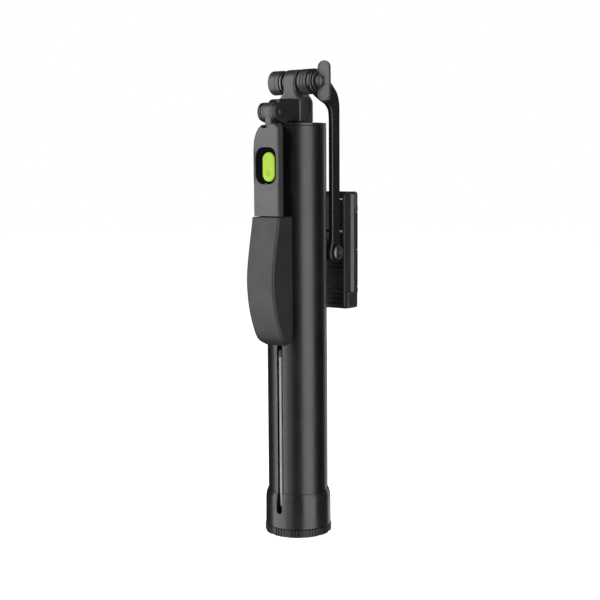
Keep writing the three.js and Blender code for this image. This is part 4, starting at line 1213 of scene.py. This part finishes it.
def make_clamp(sizes):
    """The ribbed housing, the slider with the upper jaw, the spring, the lips and their pads."""
    low, high = CLAMP_Z
    back, front = CLAMP_Y
    side = [(back, low + 1.5), (back + 1.5, low), (front - 1, low), (front, low + 1),
            (front, JAW_STEP_Z), (30.9, JAW_STEP_Z), (30.9, high - 2), (28.4, high),
            (back + 2.4, high), (back, high - 1.8)]
    edge = millimetres(sizes.moulded_edge)
    waist = (CLAMP_X[0] + 1.2, CLAMP_X[1] - 1.2)
    housing = prism("clamp_housing_ribbed", rounded(side, 0.6, 5), waist, X, edge, 4)
    bead = [(waist[0] + 0.4, 28.4), (waist[1] - 0.4, 28.4), (CLAMP_X[1], 30.4), (CLAMP_X[1], 30.82),
            (CLAMP_X[0], 30.82), (CLAMP_X[0], 30.4)]
    rail = punch(rounded(bead, 0.15, 3), (low + 5, high - 1.3), Z)
    shoe = prism("shoe", box_outline((back + 2, front), (low, JAW_STEP_Z), 1.2), CLAMP_X, X, 0.7, 4)
    housing = fuse(housing, rail, shoe, *hinge_ears(LOWER_HINGE_Z, -1))
    tools = [cutter(
                 (-13.4, 13.4), (20, back + 0.8), (z, z + 1.1)
             ) for z in (118.6, 121, 123.4, 125.8, 137.6, 139.8)]
    tools += [punch(box_outline((-12.6, 12.6), (152.5, high - 3), 1.5), (20, back + 2.2), Y)]
    tools += [cutter((-8, 8), (20, 27), (z - 0.7, z + 0.7)) for z in SPRING_TAB_Z]
    tools += [cutter((7.9, 13.3), (20, back + 1.3), (z - 0.8, z + 0.8)) for z in SPRING_TAB_Z]
    tools += [cutter((-13.1, 13.1), (26.9, 31), (low + 3, high + 2))]
    tools += [drill(1.8, (20, 28), Y, (0, PIVOT_Z)),
              drill(0.8, (-13, 13), X, (LIP_HINGE_Y, LOWER_HINGE_Z), 16)]
    tools += [cutter((14.95, 17), (24.2, 29.4), (z, z + 0.5)) for z in (119.5, 121, 122.5)]
    put(carve(housing, *tools, soften=0.16), "clamp_housing", finish="satin")

    plate = block((-12.8, 12.8), (27.2, 30.6), (119.6, high - 0.3), 0.3, "clamp_slider_hooked")
    foot = UPPER_HINGE_Z + 1.45
    jaw = prism("jaw",
                rounded([(31.2, foot), (front, foot), (front, high - 1.2), (front - 1.2, high),
                         (31.2, high)],
                        0.5),
                CLAMP_X, X, edge)
    slider = fuse(plate, block((-12.8, 12.8), (29.6, 32), (foot, high - 1), 0.2), jaw,
                  *hinge_ears(UPPER_HINGE_Z, 1))
    put(carve(slider, cutter((-2.2, 2.2), (26, 32), (119, 160)), soften=0.15), "clamp_slider",
        finish="casing")
    put(jaw_spring(), "jaw_spring", finish="steel")
    # These tabs take the pale finish, whose white is a painted glint in the slits of the clamp
    # housing.
    for level, z in (("low", 157), ("high", 174)):
        tab = rod(f"spring_tab_{level}", 0.55, (8.2, 13.1), X, (back + 0.6, z), 0.3, 24)
        put(tab, "jaw_spring", finish="nylon")
    make_lip("lower", LOWER_HINGE_Z, 1)
    make_lip("upper", UPPER_HINGE_Z, -1)


def jaw_spring():
    """Round wire wound on a helix: each section is a circle about the helix's point, spanned by the
    outward direction and its normal to the wire."""
    turns, wire, radius = 12, 0.25, 1.25
    t = np.linspace(0, turns * 2 * np.pi, turns * 20 + 1)
    out = np.column_stack([np.cos(t), np.sin(t), 0 * t])
    rise = (SPRING_Z[1] - SPRING_Z[0]) / (turns * 2 * np.pi)
    line = radius * out + np.column_stack([0 * t, SPRING_Y + 0 * t, SPRING_Z[0] + rise * t])
    along = np.column_stack([-radius * np.sin(t), radius * np.cos(t), rise + 0 * t])
    up = np.cross(out, along / np.linalg.norm(along, axis=1, keepdims=True))
    a = np.linspace(0, 2 * np.pi, 10, endpoint=False)
    rings = line[:, None] + wire * (out[
                                        :, None
                                    ] * np.cos(a)[:, None] + up[:, None] * np.sin(a)[:, None])
    return sections("jaw_spring_wound", rings, sharp=80)


def make_lip(name, z, side):
    """A flip-out lip on its pin, with a grooved rubber pad let into it."""
    def reach(near, far):
        return (z + near, z + far) if side > 0 else (z - far, z - near)

    thick = (LIP_HINGE_Y - 1.3, LIP_HINGE_Y + 1.3)
    far = abs(sum(CLAMP_Z) / 2 - z) - 0.06
    barrel = prism("barrel", arc(LIP_HINGE_Y, z, 1.3, 0, 360, 28)[:-1], (-12.9, 12.9), X, 0.12, 2)
    leaf = block(CLAMP_X, thick, reach(1.0, far), 0.2, f"{name}_lip_moulded")
    lip = fuse(leaf, barrel, block((-12.9, 12.9), thick, reach(0.2, 2.4), 0.1))
    tools = [cutter((-12.5, 12.5), (thick[0] - 1, thick[0] + 1), reach(3.4, far - 1.5)),
             drill(0.7, (-14, 14), X, (LIP_HINGE_Y, z), 16)]
    tools += [cutter(
                  (x - 0.3, x + 0.3), (thick[1] - 0.3, thick[1] + 1), reach(4, far - 2)
              ) for x in np.arange(-12, 12.1, 3)]
    put(carve(lip, *tools, soften=0.14), f"{name}_lip", finish="moulding")

    low, high = reach(3.7, far - 1.8)
    pad = block((-12.2, 12.2), (thick[0] + 0.05, thick[0] + 0.75), (low, high), 0.2,
                f"{name}_lip_pad_grooved")
    grooves = [cutter(
                   (-11.4, 11.4), (thick[0] - 0.5, thick[0] + 0.25), (g, g + 0.5)
               ) for g in np.arange(low + 1.2, high - 1.2, 1.6)]
    put(carve(pad, *grooves, soften=0.08), f"{name}_lip_pad", finish="grip")
    pin = rod(f"{name}_lip_pin_steel", 0.55, (-12.8, 12.8), X, (LIP_HINGE_Y, z), 0.1, 20)
    put(pin, f"{name}_lip_pin", finish="steel")


# ------------------------------------------------------------------ the stage

# Each softbox: its name, azimuth and elevation in degrees, distance, width and height in metres,
# and radiance.
SOFTBOXES = (
    ("Left softbox", -37, 0, 0.9, 0.98, 2.4, 2.8),
    ("Fill softbox", 4, 0, 0.9, 0.32, 2.4, 1.0),
    ("Right softbox", 77, 0, 0.9, 0.74, 2.4, 2.9),
    ("Rim softbox", 187, 0, 1.0, 0.74, 2.2, 1.0),
    ("Top softbox", 10, 82, 1.0, 0.5, 0.5, 0.5),
)
FLOOR_RADII = (0.001, 400, 1200, 3000)  # millimetres
FLOOR_Z = -0.0002  # metres
SURROUND = 0.018  # what the world adds to everything but the camera's own rays
LENS, SENSOR = 71.098, 36  # millimetres
CAMERA_TURNS = (36.0, 6.5502, 0.14345, -0.35804)  # azimuth, pitch, yaw and roll in degrees
CAMERA_DISTANCE, CAMERA_HEIGHT = 0.61075, 0.1923  # metres


def softbox(name, azimuth, elevation, distance, width, height, radiance, target=(0, 0, 0.13)):
    """A square-edged area light at an azimuth and elevation from the target, facing it. Its power
    is the radiance times its area times pi."""
    light = bpy.data.lights.new(name, "AREA")
    light.shape = "RECTANGLE"
    light.size, light.size_y = width, height
    light.energy = radiance * width * height * math.pi
    lamp = bpy.data.objects.new(name, light)
    a, e = math.radians(azimuth), math.radians(elevation)
    away = np.array([math.sin(a) * math.cos(e), -math.cos(a) * math.cos(e), math.sin(e)])
    lamp.location = np.array(target) + distance * away
    lamp.rotation_mode = "QUATERNION"
    lamp.rotation_quaternion = Vector(-away).to_track_quat("-Z", "Y")
    lamp.visible_camera = False
    bpy.context.scene.collection.objects.link(lamp)
    return lamp


def white_to_camera(tree, shown, other):
    """Background or emission strength: one value for the camera and another for the rest."""
    seen = node(tree, "LightPath").outputs["Is Camera Ray"]
    return remap(tree, seen, 0, 1, other, shown)


def make_stage():
    """A pale floor and surround, the softboxes and the camera."""
    scene = bpy.context.scene
    scene.view_settings.view_transform = "Standard"
    world = bpy.data.worlds.new("Studio")
    world.use_nodes = True
    scene.world = world
    background = world.node_tree.nodes["Background"]
    background.inputs["Color"].default_value = (1, 1, 1, 1)
    world.node_tree.links.new(white_to_camera(world.node_tree, 1.0, SURROUND),
                              background.inputs["Strength"])

    t = np.linspace(0, 2 * np.pi, 96, endpoint=False)
    rings = np.stack([np.column_stack([r * np.cos(t), r * np.sin(t), 0 * t]) for r in FLOOR_RADII])
    floor = mesh_piece("floor", rings.reshape(-1, 3), sheet_faces(len(FLOOR_RADII), len(t)))
    floor.data.transform(Matrix.Translation((0, 0, FLOOR_Z)))
    paper = bpy.data.materials.new("Pale floor")
    paper.use_nodes = True
    tree = paper.node_tree
    shader = tree.nodes["Principled BSDF"]
    shader.inputs["Base Color"].default_value = (0.6, 0.6, 0.6, 1)
    shader.inputs["Roughness"].default_value = 0.9
    glow = node(tree, "Emission", Color=(1, 1, 1, 1))
    tree.links.new(white_to_camera(tree, 1.0, 0.0), glow.inputs["Strength"])
    both = tree.nodes.new("ShaderNodeAddShader")
    tree.links.new(shader.outputs[0], both.inputs[0])
    tree.links.new(glow.outputs[0], both.inputs[1])
    tree.links.new(both.outputs[0], tree.nodes["Material Output"].inputs["Surface"])
    floor.data.materials.append(paper)

    floor.visible_glossy = floor.visible_shadow = False
    for light in SOFTBOXES:
        softbox(*light)
    scene.camera = make_camera()


def make_camera():
    """A long lens aimed by its azimuth round the stick, then by pitch, yaw and roll."""
    data = bpy.data.cameras.new("Camera")
    data.lens, data.sensor_width = LENS, SENSOR
    data.clip_start, data.clip_end = 0.01, 20
    camera = bpy.data.objects.new("Camera", data)
    azimuth, pitch, yaw, roll = np.radians(CAMERA_TURNS)
    right = np.array([math.cos(yaw), -math.sin(yaw), 0])
    ahead = np.array([math.sin(yaw) * math.cos(pitch), math.cos(yaw) * math.cos(pitch),
                      -math.sin(pitch)])
    down = np.cross(ahead, right)
    across = math.cos(roll) * right - math.sin(roll) * down
    below = math.sin(roll) * right + math.cos(roll) * down
    about = turn_z(azimuth)
    place = Matrix((about @ np.column_stack([across, -below, -ahead])).tolist()).to_4x4()
    place.translation = about @ np.array([0, -CAMERA_DISTANCE, CAMERA_HEIGHT])
    camera.matrix_world = place
    bpy.context.scene.collection.objects.link(camera)
    return camera


# ------------------------------------------------------------------ operators and panel


class StickStep:
    """A build step that hands over to one maker function."""

    bl_options = {"REGISTER", "UNDO"}

    def execute(self, context):
        self.make(context.scene.stick_sizes)
        return {"FINISHED"}


class SELFIESTICK_OT_finishes(bpy.types.Operator):
    """Make the finishes from the chosen colours"""

    bl_idname = "selfie_stick.finishes"
    bl_label = "Finishes"

    def execute(self, context):
        make_finishes(context.scene.stick_colours)
        return {"FINISHED"}


class SELFIESTICK_OT_base(StickStep, bpy.types.Operator):
    """Build the foot pad, ribbed cap, screw and hub"""

    bl_idname = "selfie_stick.base"
    bl_label = "Base"
    make = staticmethod(make_base)


class SELFIESTICK_OT_column(StickStep, bpy.types.Operator):
    """Build the slotted column and its top cap"""

    bl_idname = "selfie_stick.column"
    bl_label = "Column"
    make = staticmethod(make_column)


class SELFIESTICK_OT_legs(StickStep, bpy.types.Operator):
    """Build the three legs, their feet and their pins"""

    bl_idname = "selfie_stick.legs"
    bl_label = "Legs"
    make = staticmethod(make_legs)


class SELFIESTICK_OT_pole(StickStep, bpy.types.Operator):
    """Build the telescopic pole and its stud"""

    bl_idname = "selfie_stick.pole"
    bl_label = "Pole"
    make = staticmethod(make_pole)


class SELFIESTICK_OT_head(StickStep, bpy.types.Operator):
    """Build the head post and the handle's bracket"""

    bl_idname = "selfie_stick.head"
    bl_label = "Head"
    make = staticmethod(make_head)


class SELFIESTICK_OT_tilt_stack(StickStep, bpy.types.Operator):
    """Build the pieces on the tilt axis and the wing nut"""

    bl_idname = "selfie_stick.tilt_stack"
    bl_label = "Tilt axis"
    make = staticmethod(make_tilt_stack)


class SELFIESTICK_OT_arm(StickStep, bpy.types.Operator):
    """Build the bent arm"""

    bl_idname = "selfie_stick.arm"
    bl_label = "Arm"
    make = staticmethod(make_arm)


class SELFIESTICK_OT_handle(StickStep, bpy.types.Operator):
    """Build the handle's spine, casing and grip"""

    bl_idname = "selfie_stick.handle"
    bl_label = "Handle"
    make = staticmethod(make_handle)


class SELFIESTICK_OT_remote(StickStep, bpy.types.Operator):
    """Build the shutter remote and its button"""

    bl_idname = "selfie_stick.remote"
    bl_label = "Remote"
    make = staticmethod(make_remote)


class SELFIESTICK_OT_clamp_joint(StickStep, bpy.types.Operator):
    """Build the clamp's pivot screw, knuckle and stud"""

    bl_idname = "selfie_stick.clamp_joint"
    bl_label = "Clamp joint"
    make = staticmethod(make_clamp_joint)


class SELFIESTICK_OT_clamp(StickStep, bpy.types.Operator):
    """Build the phone clamp"""

    bl_idname = "selfie_stick.clamp"
    bl_label = "Clamp"
    make = staticmethod(make_clamp)


class SELFIESTICK_OT_stage(bpy.types.Operator):
    """Build the floor, the lights and the camera"""

    bl_idname = "selfie_stick.stage"
    bl_label = "Stage"

    def execute(self, context):
        make_stage()
        return {"FINISHED"}


STEPS = (
    SELFIESTICK_OT_finishes, SELFIESTICK_OT_base, SELFIESTICK_OT_column, SELFIESTICK_OT_legs,
    SELFIESTICK_OT_pole, SELFIESTICK_OT_head, SELFIESTICK_OT_tilt_stack, SELFIESTICK_OT_arm,
    SELFIESTICK_OT_handle, SELFIESTICK_OT_remote, SELFIESTICK_OT_clamp_joint, SELFIESTICK_OT_clamp,
    SELFIESTICK_OT_stage,
)


class VIEW3D_PT_selfie_stick(bpy.types.Panel):
    """Sizes, colours and build steps of the selfie stick"""

    bl_label = "Selfie Stick"
    bl_space_type = "VIEW_3D"
    bl_region_type = "UI"
    bl_category = "Selfie Stick"

    def draw(self, context):
        for title, group in (("Sizes", context.scene.stick_sizes),
                             ("Colours", context.scene.stick_colours)):
            box = self.layout.box()
            box.label(text=title)
            for key in group.__annotations__:
                box.prop(group, key)
        column = self.layout.column(align=True)
        for step in STEPS:
            column.operator(step.bl_idname)


CLASSES = (StickSizes, StickColours, *STEPS, VIEW3D_PT_selfie_stick)


def register():
    for item in CLASSES:
        bpy.utils.register_class(item)
    bpy.types.Scene.stick_sizes = bpy.props.PointerProperty(type=StickSizes)
    bpy.types.Scene.stick_colours = bpy.props.PointerProperty(type=StickColours)


def unregister():
    del bpy.types.Scene.stick_colours
    del bpy.types.Scene.stick_sizes
    for item in reversed(CLASSES):
        bpy.utils.unregister_class(item)


def main():
    register()
    for step in STEPS:
        group, name = step.bl_idname.split(".")
        getattr(getattr(bpy.ops, group), name)()
    bpy.context.view_layer.update()


if __name__ == "__main__":
    main()
